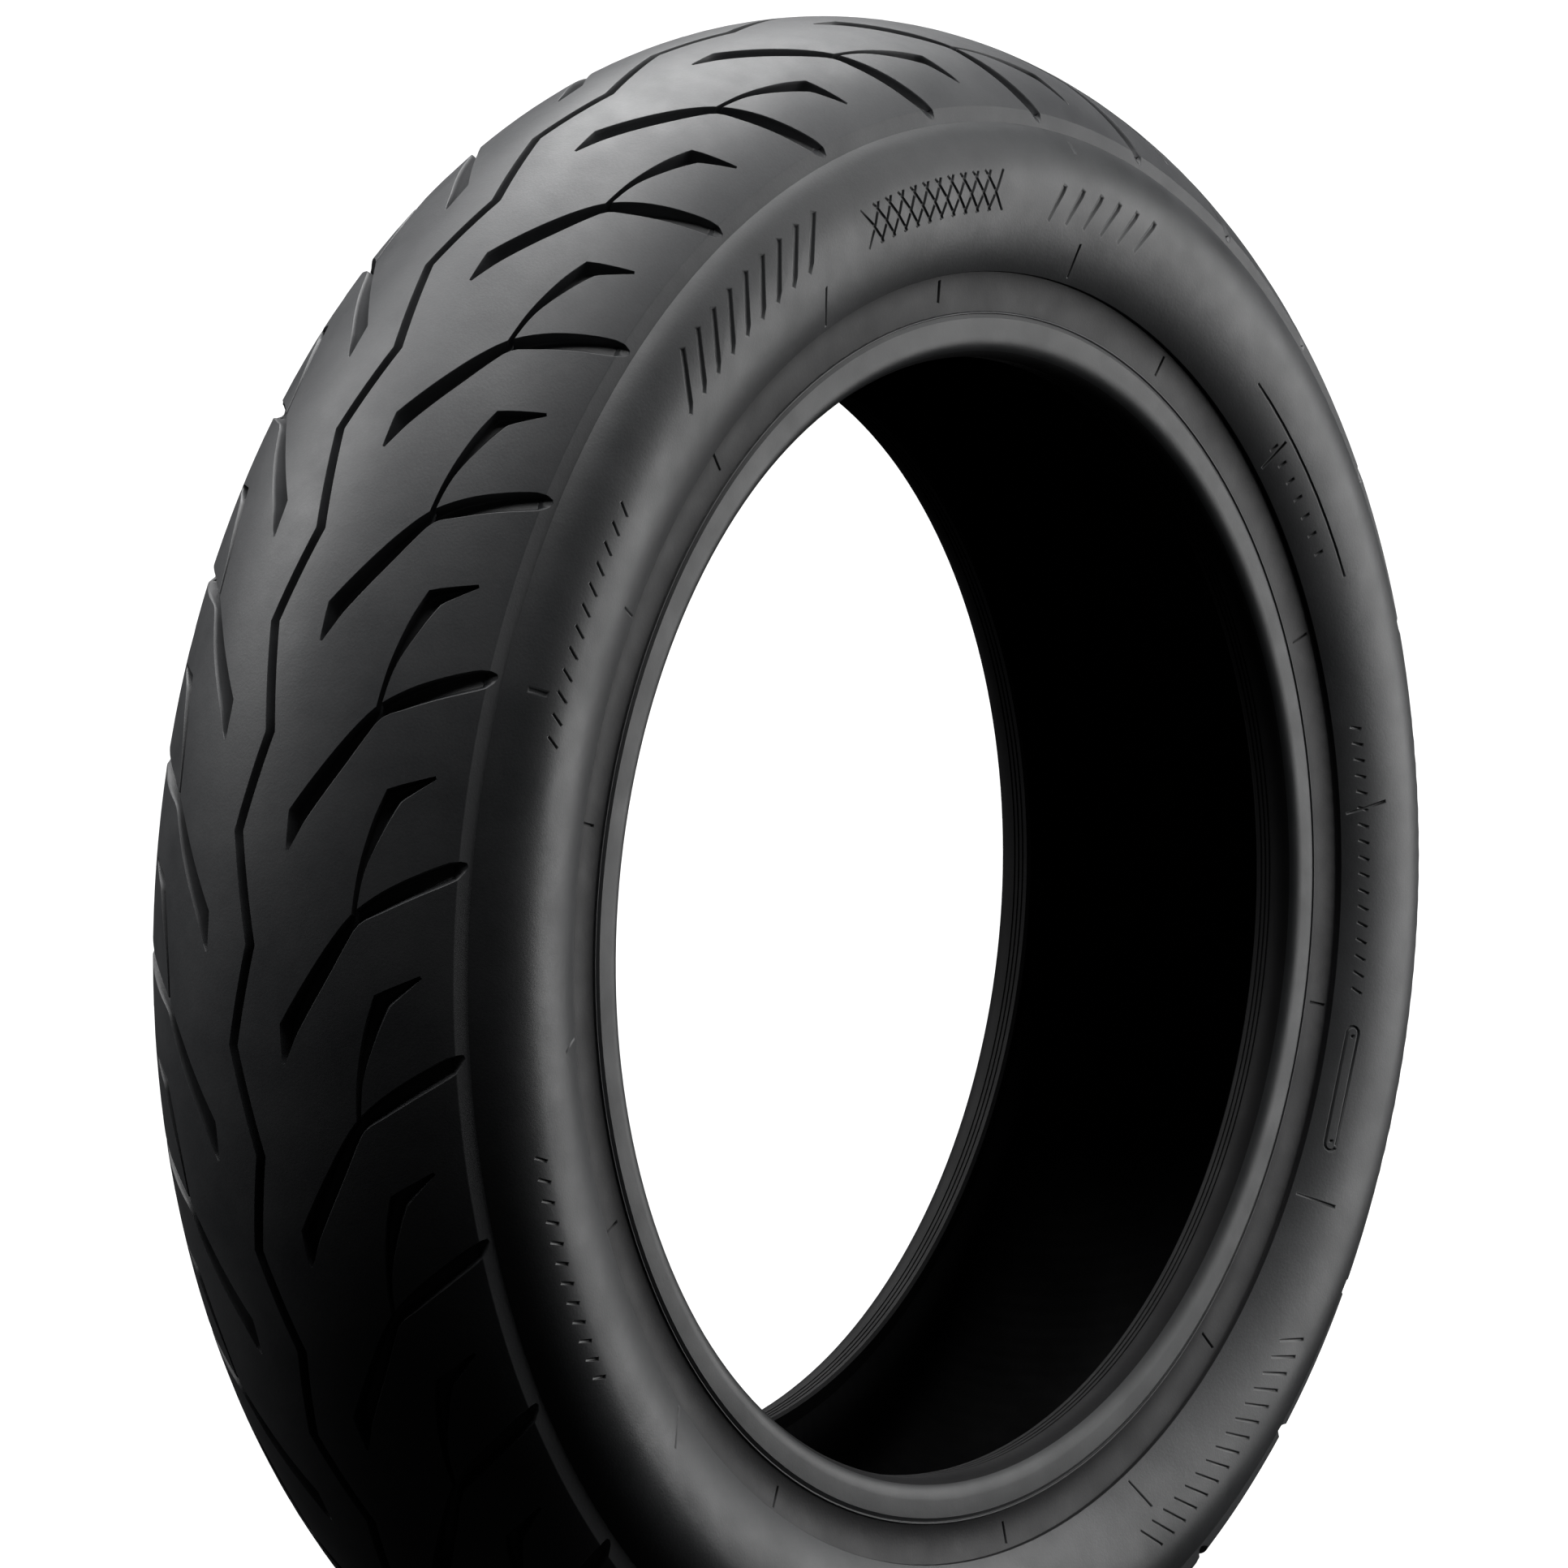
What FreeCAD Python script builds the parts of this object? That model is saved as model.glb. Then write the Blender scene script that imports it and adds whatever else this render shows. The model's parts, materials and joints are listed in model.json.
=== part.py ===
import FreeCAD, Part

import math
import os
import re

import Sketcher
from FreeCAD import Vector

# Tubeless scooter tyre, 130/70-12, bias-belted, directional tread.
# Frame: the axle is the Y axis, +Z is up, the origin is the centre of the tyre.
# Forward travel is +X, so "left" is the +Y half and "right" the -Y half.
# Each layer is a ring: its section is drawn in the YZ plane, where the sketch's
# horizontal axis is Y and its vertical axis is the radius, and turned about Y.

SIZES = (
    ("outer_radius", 243.5, "axle to the top of the tread"),
    ("tread_bend", 65.0, "radius of the tread's round across the tyre"),
    ("tread_edge_y", 50.3, "half width of the tread at its edge"),
    ("riser_foot_y", 51.5, "half width at the foot of the step below the tread's edge"),
    ("riser_foot_r", 215.4, "radius of that foot"),
    ("wing_root_angle", 46.0, "where the tread rubber ends on the casing, degrees from the crown"),
    ("widest_y", 60.8, "half width of the tyre at its widest"),
    ("widest_r", 198.0, "radius of the widest place"),
    ("upper_bulge_bend", 20.93, "round of the sidewall above the widest place"),
    ("lower_bulge_bend", 39.25, "round of the sidewall below the widest place"),
    ("casing_bend", 66.0, "radius of the inside of the casing at the crown"),
    ("casing_centre_r", 163.0, "centre of that round, from the axle"),
    ("casing_arc_angle", 53.13, "how far the crown round reaches, degrees from the crown"),
    ("wall_bend", 16.0, "radius of the inside of the casing at the sidewall"),
    ("wall_centre_y", 40.0, "centre of that round, sideways"),
    ("wall_centre_r", 193.0, "centre of that round, from the axle"),
    ("flank_slope", 35.0, "lean of the casing below the sidewall, degrees"),
    ("flank_bend", 20.0, "radius of the casing where it turns down to the bead"),
    ("flank_centre_r", 160.2, "centre of that round, from the axle"),
    ("bead_inner_y", 41.0, "inside face of the bead"),
    ("liner_gauge", 1.0, "thickness of the inner liner"),
    ("ply_gauge", 0.9, "thickness of one carcass ply"),
    ("breaker_gauge", 0.8, "thickness of one breaker ply"),
    ("base_gauge", 1.0, "thickness of the tread base"),
    ("inner_breaker_angle", 33.0, "half spread of the inner breaker, degrees"),
    ("outer_breaker_angle", 29.5, "half spread of the outer breaker, degrees"),
    ("base_angle", 38.0, "half spread of the tread base, degrees"),
    ("seat_radius", 152.0, "bead seat, the 12 inch rim's seat radius"),
    ("bead_face_y", 52.0, "outside face of the bead"),
    ("heel_bend", 5.9, "round of the bead heel"),
    ("toe_y", 39.7, "tip of the bead toe"),
    ("toe_lift", 0.8, "height of the toe's small bevel"),
    ("toe_top_r", 157.5, "where the toe rubber meets the liner"),
    ("strip_top_r", 162.6, "top of the rim strip"),
    ("core_width", 4.4, "bead core with its wrap, sideways"),
    ("core_bottom_r", 155.6, "underside of the wrapped bead core"),
    ("core_corner", 1.0, "round of the core's lower corners"),
    ("chafer_gauge", 0.6, "thickness of the chafer fabric"),
    ("wrap_gauge", 0.4, "thickness of the bead wrap"),
    ("wire_pitch", 1.2, "spacing of the bead wires"),
    ("wire_radius", 0.48, "radius of one bead wire"),
    ("outer_turnup_r", 170.5, "end of the outer ply's turn-up"),
    ("inner_turnup_r", 167.0, "end of the inner ply's turn-up"),
    ("rim_line_r", 175.2, "moulded step round the rim's edge"),
    ("rim_line_y", 53.5, "half width at that step"),
    ("rim_step", 1.2, "height of that step"),
    ("band_bend", 16.8, "hollow round of the recessed band that the rim's flange covers"),
    ("fit_line_r", 164.4, "fine moulded ring that shows the tyre is seated"),
    ("fit_line_height", 0.45, "how far that ring stands out"),
    ("fit_line_width", 0.7, "width of that ring"),
    ("band_low_y", 51.4, "half width of the recessed band at the seating ring"),
    ("pitch_count", 28.0, "repeats of the tread pattern"),
    ("groove_depth", 6.2, "radial depth of a side groove, if it reached the middle"),
    ("groove_floor_bend", 72.5, "round of the groove floors: shallower towards the edge"),
    ("zigzag_depth", 5.0, "radial depth of the centre groove"),
    ("zigzag_width", 3.0, "width of the centre groove"),
    ("zigzag_swing", 3.0, "how far the centre groove swings to each side"),
    ("first_groove_angle", 145.3, "position of a right-hand groove at the tread edge, degrees"),
)

SHEET_WORDS = {alias: f"sizes.{alias}" for alias, value, meaning in SIZES}

WIRE_COLUMNS = 3
WIRE_ROWS = 3

doc = FreeCAD.newDocument("scooter_tyre")
sheet = doc.addObject("Spreadsheet::Sheet", "sizes")
sheet.set("A1", "size")
sheet.set("B1", "value, mm or degrees")
sheet.set("C1", "meaning")
for row, (alias, value, meaning) in enumerate(SIZES, start=2):
    sheet.set(f"A{row}", alias)
    sheet.set(f"B{row}", str(value))
    sheet.set(f"C{row}", meaning)
    sheet.setAlias(f"B{row}", alias)
doc.recompute()


def bound(text):
    """The expression for a sketch: every alias in text read from the sheet."""
    return re.sub(r"[a-z_]+", lambda word: SHEET_WORDS.get(word[0], word[0]), text)


def number(text):
    """The same expression's present value."""
    return float(sheet.evalExpression(bound(text)))


# ---- places in the section, each a pair of expressions (sideways, radius) ----

def around_crown(offset, angle):
    """A point on the casing's crown round, offset outward from its inside face."""
    reach = f"( casing_bend + {offset} )"
    return (f"{reach} * sin( {angle} )", f"casing_centre_r + {reach} * cos( {angle} )")


def wall_end(offset):
    """Where the sidewall round of the casing ends and the sloping flank begins."""
    reach = f"( wall_bend + {offset} )"
    return (f"wall_centre_y + {reach} * cos( flank_slope )",
            f"wall_centre_r - {reach} * sin( flank_slope )")


def flank_end(offset):
    """Where the sloping flank ends and the round down to the bead begins."""
    reach = f"( flank_bend - ( {offset} ) )"
    return (f"bead_inner_y + flank_bend - {reach} * cos( flank_slope )",
            f"flank_centre_r + {reach} * sin( flank_slope )")


def bead_line(offset, radius):
    """A point on the bead's inside wall at an offset and a radius."""
    return (f"bead_inner_y + {offset}", radius)


LINER = "liner_gauge"
PLY_A = "liner_gauge + ply_gauge"
PLY_B = "liner_gauge + 2 * ply_gauge"
BREAKER_A = f"{PLY_B} + breaker_gauge"
BREAKER_B = f"{PLY_B} + 2 * breaker_gauge"
BASE = f"{BREAKER_B} + base_gauge"

CORE_IN = f"bead_inner_y + {PLY_B}"
CORE_OUT = f"{CORE_IN} + core_width"
CORNER_IN = f"{CORE_IN} + core_corner"
CORNER_OUT = f"{CORE_OUT} - core_corner"
CORNER_R = "core_bottom_r + core_corner"

TREAD_EDGE = ("tread_edge_y",
              "outer_radius - tread_bend + sqrt( tread_bend ^ 2 - tread_edge_y ^ 2 )")
RISER_FOOT = ("riser_foot_y", "riser_foot_r")


def casing_run(offset, last_radius):
    """The casing's line at an offset, from the crown round down to the bead wall."""
    return [
        (around_crown(offset, "casing_arc_angle"), ("wall", f"wall_bend + {offset}", -1)),
        (wall_end(offset), None),
        (flank_end(offset), ("flank", f"flank_bend - ( {offset} )", 1)),
        (bead_line(offset, "flank_centre_r"), None),
        (bead_line(offset, last_radius), None),
    ]


def under_core(gap):
    """The line under the bead core, a gap outside it, from one wall to the other."""
    bend = f"core_corner + {gap}"
    low = f"core_bottom_r - ( {gap} )"
    return [
        ((f"{CORE_IN} - ( {gap} )", CORNER_R), ("corner", bend, 1)),
        ((CORNER_IN, low), None),
        ((CORNER_OUT, low), ("corner", bend, 1)),
        ((f"{CORE_OUT} + {gap}", CORNER_R), None),
    ]


def backward(run):
    """The same run walked the other way; each arc moves to its new first point."""
    points = [point for point, edge in run][::-1]
    edges = [edge for point, edge in run][:-1][::-1] + [None]
    return list(zip(points, edges))


def flipped(run):
    """The same run walked the other way, with its arcs bending the other way."""
    return [(point, edge and (edge[0], edge[1], -edge[2])) for point, edge in backward(run)]


def mirrored(run):
    """The run on the other half of the tyre, walked the other way round."""
    return [((f"- ( {point[0]} )", point[1]), edge) for point, edge in backward(run)]


# ---- drawing one section ----

def arc_between(start, end, bend, turn):
    """An arc from start to end; turn 1 runs counter-clockwise, -1 clockwise."""
    chord = end - start
    middle = (start + end) * 0.5
    height = math.sqrt(bend ** 2 - (chord.Length / 2) ** 2)
    side = Vector(-chord.y, chord.x, 0) * (turn / chord.Length)
    centre = middle + side * height
    top = centre - side * bend
    return Part.Arc(start, top, end)


def draw(sketch, run):
    """Draw a closed outline of lines and arcs and bind every point to the sheet."""
    places = [Vector(number(point[0]), number(point[1]), 0) for point, edge in run]
    ends = []
    for index, (point, edge) in enumerate(run):
        start = places[index]
        end = places[(index + 1) % len(run)]
        if edge is None:
            shape = Part.LineSegment(start, end)
        else:
            shape = arc_between(start, end, number(edge[1]), edge[2])
        item = sketch.addGeometry(shape, False)
        first = 1 if sketch.getPoint(item, 1).distanceToPoint(start) < 1e-6 else 2
        ends.append((item, first, 3 - first))
        if edge is not None:
            radius = sketch.addConstraint(Sketcher.Constraint("Radius", item, number(edge[1])))
            sketch.setExpression(f"Constraints[{radius}]", bound(edge[1]))
    for index, (point, edge) in enumerate(run):
        item, first, last = ends[index]
        previous, _, previous_last = ends[index - 1]
        sketch.addConstraint(Sketcher.Constraint("Coincident", previous, previous_last, item, first))
        for kind, text, value in (("DistanceX", point[0], places[index].x),
                                  ("DistanceY", point[1], places[index].y)):
            datum = sketch.addConstraint(Sketcher.Constraint(kind, -1, 1, item, first, value))
            sketch.setExpression(f"Constraints[{datum}]", bound(text))


def draw_wire_ends(sketch, side):
    """Draw the round ends of the bead wires, a grid inside the bead wrap."""
    for column in range(WIRE_COLUMNS):
        for level in range(WIRE_ROWS):
            across = f"{side} * ( {CORE_IN} + wrap_gauge + ( {column} + 0.5 ) * wire_pitch )"
            up = ("( core_bottom_r + flank_centre_r ) / 2"
                  f" + ( {level} - ( {WIRE_ROWS} - 1 ) / 2 ) * wire_pitch")
            centre = Vector(number(across), number(up), 0)
            item = sketch.addGeometry(Part.Circle(centre, Vector(0, 0, 1), number("wire_radius")), False)
            for kind, text in (("DistanceX", across), ("DistanceY", up)):
                value = centre.x if kind == "DistanceX" else centre.y
                datum = sketch.addConstraint(Sketcher.Constraint(kind, -1, 1, item, 3, value))
                sketch.setExpression(f"Constraints[{datum}]", bound(text))
            radius = sketch.addConstraint(Sketcher.Constraint("Radius", item, number("wire_radius")))
            sketch.setExpression(f"Constraints[{radius}]", bound("wire_radius"))


def ring(name, run=(), wires_side=None):
    """A body turned about the axle from an outline, wire ends or both."""
    body = doc.addObject("PartDesign::Body", name)
    body.Label = name
    body.AllowCompound = True
    sketch = body.newObject("Sketcher::SketchObject", f"{name}_section")
    plane = [item for item in body.Origin.OriginFeatures if item.Role == "YZ_Plane"][0]
    sketch.AttachmentSupport = (plane, [""])
    sketch.MapMode = "FlatFace"
    if run:
        draw(sketch, run)
    if wires_side is not None:
        draw_wire_ends(sketch, wires_side)
    turned = body.newObject("PartDesign::Revolution", f"{name}_turned")
    turned.Profile = sketch
    turned.ReferenceAxis = (sketch, ["H_Axis"])
    turned.Angle = 360
    body.Tip = turned
    return body


def both_sides(name, run):
    """The same ring on the left and the right half of the tyre."""
    return [ring(f"{name}_left", run), ring(f"{name}_right", mirrored(run))]


# ---- casing: liner, two plies turned up round the beads, two breakers ----

def closed_casing(outer_run, inner_run, outer_offset, inner_offset):
    """A layer that runs from bead to bead: outer line out and back along the inner line."""
    crown_out = ("crown", f"casing_bend + {outer_offset}", -1)
    crown_in = ("crown", f"casing_bend + {inner_offset}", 1)
    left_out = outer_run
    right_out = mirrored(outer_run)
    right_out[-1] = (right_out[-1][0], crown_out)
    left_in = flipped(inner_run)
    left_in[-1] = (left_in[-1][0], crown_in)
    right_in = flipped(mirrored(inner_run))
    return right_out + left_out + left_in + right_in


def turned_up(offset_out, offset_in, gap_out, gap_in, turnup_r):
    """A carcass ply's two lines: down the sidewall, under the bead and up outside it."""
    outer = casing_run(offset_out, CORNER_R)[:-1] + under_core(gap_in)
    outer.append(((f"{CORE_OUT} + {gap_in}", turnup_r), None))
    inner = casing_run(offset_in, CORNER_R)[:-1] + under_core(gap_out)
    inner.append(((f"{CORE_OUT} + {gap_out}", turnup_r), None))
    return outer, inner


def crown_layer(outer_offset, inner_offset, angle):
    """A flat strip of the crown: square ends at an angle to each side."""
    out = f"casing_bend + {outer_offset}"
    base = f"casing_bend + {inner_offset}"
    left_out = around_crown(outer_offset, angle)
    left_in = around_crown(inner_offset, angle)
    return [
        ((f"- ( {left_out[0]} )", left_out[1]), ("crown", out, -1)),
        (left_out, None),
        (left_in, ("crown", base, 1)),
        ((f"- ( {left_in[0]} )", left_in[1]), None),
    ]


ring("inner_liner", closed_casing(casing_run(LINER, "toe_top_r"), casing_run("0", "toe_top_r"),
                                  LINER, "0"))
ply_lines = turned_up(PLY_A, LINER, "2 * ply_gauge", "ply_gauge", "inner_turnup_r")
ring("carcass_ply_inner", closed_casing(*ply_lines, PLY_A, LINER))
ply_lines = turned_up(PLY_B, PLY_A, "ply_gauge", "0", "outer_turnup_r")
ring("carcass_ply_outer", closed_casing(*ply_lines, PLY_B, PLY_A))
ring("breaker_ply_inner", crown_layer(BREAKER_A, PLY_B, "inner_breaker_angle"))
ring("breaker_ply_outer", crown_layer(BREAKER_B, BREAKER_A, "outer_breaker_angle"))


# ---- tread base: a thin strip stepped down over the edges of the breakers ----

def across(points, bends):
    """A line from right to left through mirrored points; arcs join the middle pair."""
    right = [((f"- ( {point[0]} )", point[1]), None) for point in points][::-1]
    left = [(point, None) for point in points]
    return [(place, bends.get(index)) for index, (place, edge) in enumerate(right + left)]


base_steps = [
    around_crown(BREAKER_B, "outer_breaker_angle"),
    around_crown(BREAKER_A, "outer_breaker_angle"),
    around_crown(BREAKER_A, "inner_breaker_angle"),
    around_crown(PLY_B, "inner_breaker_angle"),
    around_crown(PLY_B, "base_angle"),
]
base_under = across(base_steps, {
    0: ("crown", f"casing_bend + {PLY_B}", -1),
    2: ("crown", f"casing_bend + {BREAKER_A}", -1),
    4: ("crown", f"casing_bend + {BREAKER_B}", -1),
    6: ("crown", f"casing_bend + {BREAKER_A}", -1),
    8: ("crown", f"casing_bend + {PLY_B}", -1),
})
base_top = across([around_crown(BASE, "base_angle")], {0: ("crown", f"casing_bend + {BASE}", -1)})
ring("tread_base", base_top + flipped(base_under))


# ---- tread cap: the wearing rubber, with a steep step down at each shoulder ----

cap_top = across([TREAD_EDGE, RISER_FOOT], {1: ("tread", "tread_bend", -1)})
cap_under = across([around_crown(BASE, "base_angle"), around_crown(PLY_B, "base_angle"),
                    around_crown(PLY_B, "wing_root_angle")], {
    0: ("crown", f"casing_bend + {PLY_B}", -1),
    2: ("crown", f"casing_bend + {BASE}", -1),
    4: ("crown", f"casing_bend + {PLY_B}", -1),
})
tread_blank = ring("tread_blank", cap_top + flipped(cap_under))


# ---- sidewalls, from the foot of the tread's step down to the rim strips ----

sidewall = [
    (RISER_FOOT, ("bulge", "upper_bulge_bend", -1)),
    (("widest_y", "widest_r"), ("bulge", "lower_bulge_bend", -1)),
    (("rim_line_y", "rim_line_r"), None),
    (("rim_line_y - rim_step", "rim_line_r"), ("band", "band_bend", 1)),
    (("band_low_y", "fit_line_r"), None),
    (("band_low_y + fit_line_height", "fit_line_r - 0.3 * fit_line_width"), None),
    (("band_low_y + fit_line_height", "fit_line_r - 0.7 * fit_line_width"), None),
    (("band_low_y", "fit_line_r - fit_line_width"), None),
    (("bead_face_y", "strip_top_r"), None),
    ((f"{CORE_OUT} + 2 * ply_gauge", "strip_top_r"), None),
    ((f"{CORE_OUT} + 2 * ply_gauge", "inner_turnup_r"), None),
    ((f"{CORE_OUT} + ply_gauge", "inner_turnup_r"), None),
    ((f"{CORE_OUT} + ply_gauge", "outer_turnup_r"), None),
    ((CORE_OUT, "outer_turnup_r"), None),
]
FILLER_BEND = f"flank_bend - ( {PLY_B} )"
FILLER_TIP = (CORE_OUT, f"flank_centre_r + sqrt( ( {FILLER_BEND} ) ^ 2"
                        f" - ( {FILLER_BEND} - core_width ) ^ 2 )")
sidewall += [
    (FILLER_TIP, ("flank", FILLER_BEND, -1)),
    (flank_end(PLY_B), None),
    (wall_end(PLY_B), ("wall", f"wall_bend + {PLY_B}", 1)),
    (around_crown(PLY_B, "casing_arc_angle"), ("crown", f"casing_bend + {PLY_B}", 1)),
    (around_crown(PLY_B, "wing_root_angle"), None),
]
both_sides("sidewall", sidewall)


# ---- beads: wires in rubber, a wrap, a filler, a chafer and the rim strip ----

rim_strip = [
    (("bead_face_y", "strip_top_r"), None),
    (("bead_face_y", "seat_radius + heel_bend"), ("heel", "heel_bend", -1)),
    (("bead_face_y - heel_bend", "seat_radius"), None),
    (("toe_y + toe_lift", "seat_radius"), None),
    (("toe_y", "seat_radius + toe_lift"), None),
    (("bead_inner_y", "toe_top_r"), None),
    ((f"bead_inner_y + {LINER}", "toe_top_r"), None),
    ((f"bead_inner_y + {LINER}", CORNER_R), ("corner", "core_corner + 2 * ply_gauge", 1)),
    ((CORNER_IN, "core_bottom_r - 2 * ply_gauge"), None),
    ((CORNER_IN, "core_bottom_r - 2 * ply_gauge - chafer_gauge"), None),
    ((CORNER_OUT, "core_bottom_r - 2 * ply_gauge - chafer_gauge"),
     ("corner", "core_corner + 2 * ply_gauge + chafer_gauge", 1)),
    ((f"{CORE_OUT} + 2 * ply_gauge + chafer_gauge", CORNER_R), None),
    ((f"{CORE_OUT} + 2 * ply_gauge + chafer_gauge", "strip_top_r"), None),
]
both_sides("rim_strip", rim_strip)

chafer = [
    ((f"{CORE_OUT} + 2 * ply_gauge + chafer_gauge", "strip_top_r"), None),
    ((f"{CORE_OUT} + 2 * ply_gauge + chafer_gauge", CORNER_R),
     ("corner", "core_corner + 2 * ply_gauge + chafer_gauge", -1)),
    ((CORNER_OUT, "core_bottom_r - 2 * ply_gauge - chafer_gauge"), None),
    ((CORNER_IN, "core_bottom_r - 2 * ply_gauge - chafer_gauge"), None),
    ((CORNER_IN, "core_bottom_r - 2 * ply_gauge"), None),
    ((CORNER_OUT, "core_bottom_r - 2 * ply_gauge"), ("corner", "core_corner + 2 * ply_gauge", 1)),
    ((f"{CORE_OUT} + 2 * ply_gauge", CORNER_R), None),
    ((f"{CORE_OUT} + 2 * ply_gauge", "strip_top_r"), None),
]
both_sides("chafer", chafer)

bead_filler = [
    ((CORE_IN, "flank_centre_r"), ("flank", FILLER_BEND, -1)),
    (FILLER_TIP, None),
    ((CORE_OUT, "flank_centre_r"), None),
]
both_sides("bead_filler", bead_filler)

core_inside = [
    ((f"{CORE_IN} + wrap_gauge", "core_bottom_r + wrap_gauge"), None),
    ((f"{CORE_OUT} - wrap_gauge", "core_bottom_r + wrap_gauge"), None),
    ((f"{CORE_OUT} - wrap_gauge", "flank_centre_r - wrap_gauge"), None),
    ((f"{CORE_IN} + wrap_gauge", "flank_centre_r - wrap_gauge"), None),
]
core_outside = [
    ((CORE_IN, CORNER_R), ("corner", "core_corner", 1)),
    ((CORNER_IN, "core_bottom_r"), None),
    ((CORNER_OUT, "core_bottom_r"), ("corner", "core_corner", 1)),
    ((CORE_OUT, CORNER_R), None),
    ((CORE_OUT, "flank_centre_r"), None),
    ((CORE_IN, "flank_centre_r"), None),
]


def wrapped_core(side_name, side, turn_over):
    """One bead core: the wires, the rubber between them and the wrap round both."""
    inside = turn_over(core_inside)
    wrap = ring(f"bead_wrap_{side_name}", turn_over(core_outside))
    draw(wrap.Group[0], inside)
    ring(f"bead_rubber_{side_name}", inside, wires_side=side)
    ring(f"bead_wires_{side_name}", wires_side=side)


wrapped_core("left", 1, list)
wrapped_core("right", -1, mirrored)
doc.recompute()


# ---- tread pattern ----
# One groove is a strip on the unrolled tread: places (ahead, from_centre, half_width), in mm.
# ahead runs round the crown from the groove's mouth at the tread edge, against the wheel's
# roll; from_centre runs across the tread from its middle, along the curved surface.
# The mouth and the long groove are one curved groove, drawn as two strips because each strip
# is pushed straight in; the branch leaves it through a thin neck.

MOUTH_GROOVE = (
    (-2.6, 61.0, 1.9),
    (0.2, 56.6, 2.7),
    (6.4, 45.0, 2.8),
    (11.0, 37.5, 2.4),
    (15.8, 31.4, 1.7),
)
LONG_GROOVE = (
    (14.4, 32.6, 1.7),
    (21.5, 27.8, 2.1),
    (28.9, 23.5, 2.5),
    (43.6, 14.6, 2.8),
    (53.0, 12.6, 0.4),
)
BRANCH_GROOVE = (
    (15.5, 31.2, 0.6),
    (2.5, 33.0, 0.9),
    (-9.8, 36.3, 1.9),
    (-18.4, 39.4, 2.5),
    (-24.8, 49.3, 0.5),
)

# The zigzag's peaks, in degrees after the right-hand groove's mouth.
ZIGZAG_NEAR = 5.4
ZIGZAG_FAR = 11.5
ZIGZAG_OVERLAP = 0.4  # how far one pitch's ribbon runs into the next, so that no sliver is left

# Cutters start above the tread and reach below the deepest floor; the band trims them to depth.
CUTTER_RISE = 12.0
CUTTER_REACH = 32.0
BAND_SPREAD = 60.0
BAND_RISE = 4.0


def read(alias):
    return float(sheet.get(alias))


def on_tread(turn, from_centre, side, lift=0.0):
    """A point on the tread surface at an angle round the axle and a place across it."""
    bend = read("tread_bend")
    lean = from_centre / bend
    y = side * (bend + lift) * math.sin(lean)
    radius = read("outer_radius") - bend + (bend + lift) * math.cos(lean)
    angle = math.radians(turn)
    return Vector(radius * math.cos(angle), y, radius * math.sin(angle))


def strip_outline(places):
    """The left and right edges of a strip, as one closed list of (ahead, from_centre)."""
    left = []
    right = []
    for index, (ahead, from_centre, half_width) in enumerate(places):
        before = places[max(index - 1, 0)]
        after = places[min(index + 1, len(places) - 1)]
        along = Vector(after[0] - before[0], after[1] - before[1], 0).normalize()
        left.append((ahead - along.y * half_width, from_centre + along.x * half_width))
        right.append((ahead + along.y * half_width, from_centre - along.x * half_width))
    return left + right[::-1]


def cutter(outline, side, start_turn, band):
    """The solid that cuts one groove: the outline pushed inward, down to the groove floor."""
    per_mm = 180 / (math.pi * read("outer_radius"))
    start, far = outline[0], outline[len(outline) // 2]
    ahead = (start[0] + far[0]) / 2
    from_centre = (start[1] + far[1]) / 2
    centre = on_tread(start_turn + ahead * per_mm, from_centre, side)
    outward = on_tread(start_turn + ahead * per_mm, from_centre, side, lift=1.0) - centre
    outward.normalize()
    top = centre + outward * CUTTER_RISE
    corners = []
    for ahead, from_centre in outline:
        place = on_tread(start_turn + ahead * per_mm, from_centre, side)
        corners.append(place + outward * (top - place).dot(outward))
    face = Part.Face(Part.makePolygon(corners + corners[:1]))
    return face.extrude(outward * -CUTTER_REACH).common(band)


def depth_band(depth, floor_bend):
    """The layer of space that grooves of this depth take, from their floor to open air."""
    outer = read("outer_radius")
    spread = math.radians(BAND_SPREAD)
    lines = []
    for top, bend in ((outer - depth, floor_bend),
                      (outer + BAND_RISE, read("tread_bend") + BAND_RISE)):
        centre = top - bend
        ends = [Vector(0, side * bend * math.sin(spread), centre + bend * math.cos(spread))
                for side in (-1, 1)]
        lines.append((ends[0], Vector(0, 0, top), ends[1]))
    floor, air = lines
    wire = Part.Wire([
        Part.Arc(*floor).toShape(),
        Part.LineSegment(floor[2], air[2]).toShape(),
        Part.Arc(*air[::-1]).toShape(),
        Part.LineSegment(air[0], floor[0]).toShape(),
    ])
    return Part.Face(wire).revolve(Vector(0, 0, 0), Vector(0, 1, 0), 360)


def round_the_tread(shape):
    """Copies of a shape, one for each repeat of the tread pattern."""
    copies = []
    for step in range(int(read("pitch_count"))):
        copy = shape.copy()
        copy.rotate(Vector(0, 0, 0), Vector(0, -1, 0), step * 360 / read("pitch_count"))
        copies.append(copy)
    return copies


def side_cutters():
    """All the side grooves: the left half lags the right half by half a pitch."""
    band = depth_band(read("groove_depth"), read("groove_floor_bend"))
    pitch = 360 / read("pitch_count")
    cutters = []
    for side, start in ((-1, read("first_groove_angle")), (1, read("first_groove_angle") + pitch / 2)):
        mouth, long_part, branch = [cutter(strip_outline(groove), side, start, band)
                                    for groove in (MOUTH_GROOVE, LONG_GROOVE, BRANCH_GROOVE)]
        cutters += round_the_tread(mouth.fuse([long_part, branch]))
    return cutters


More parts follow.
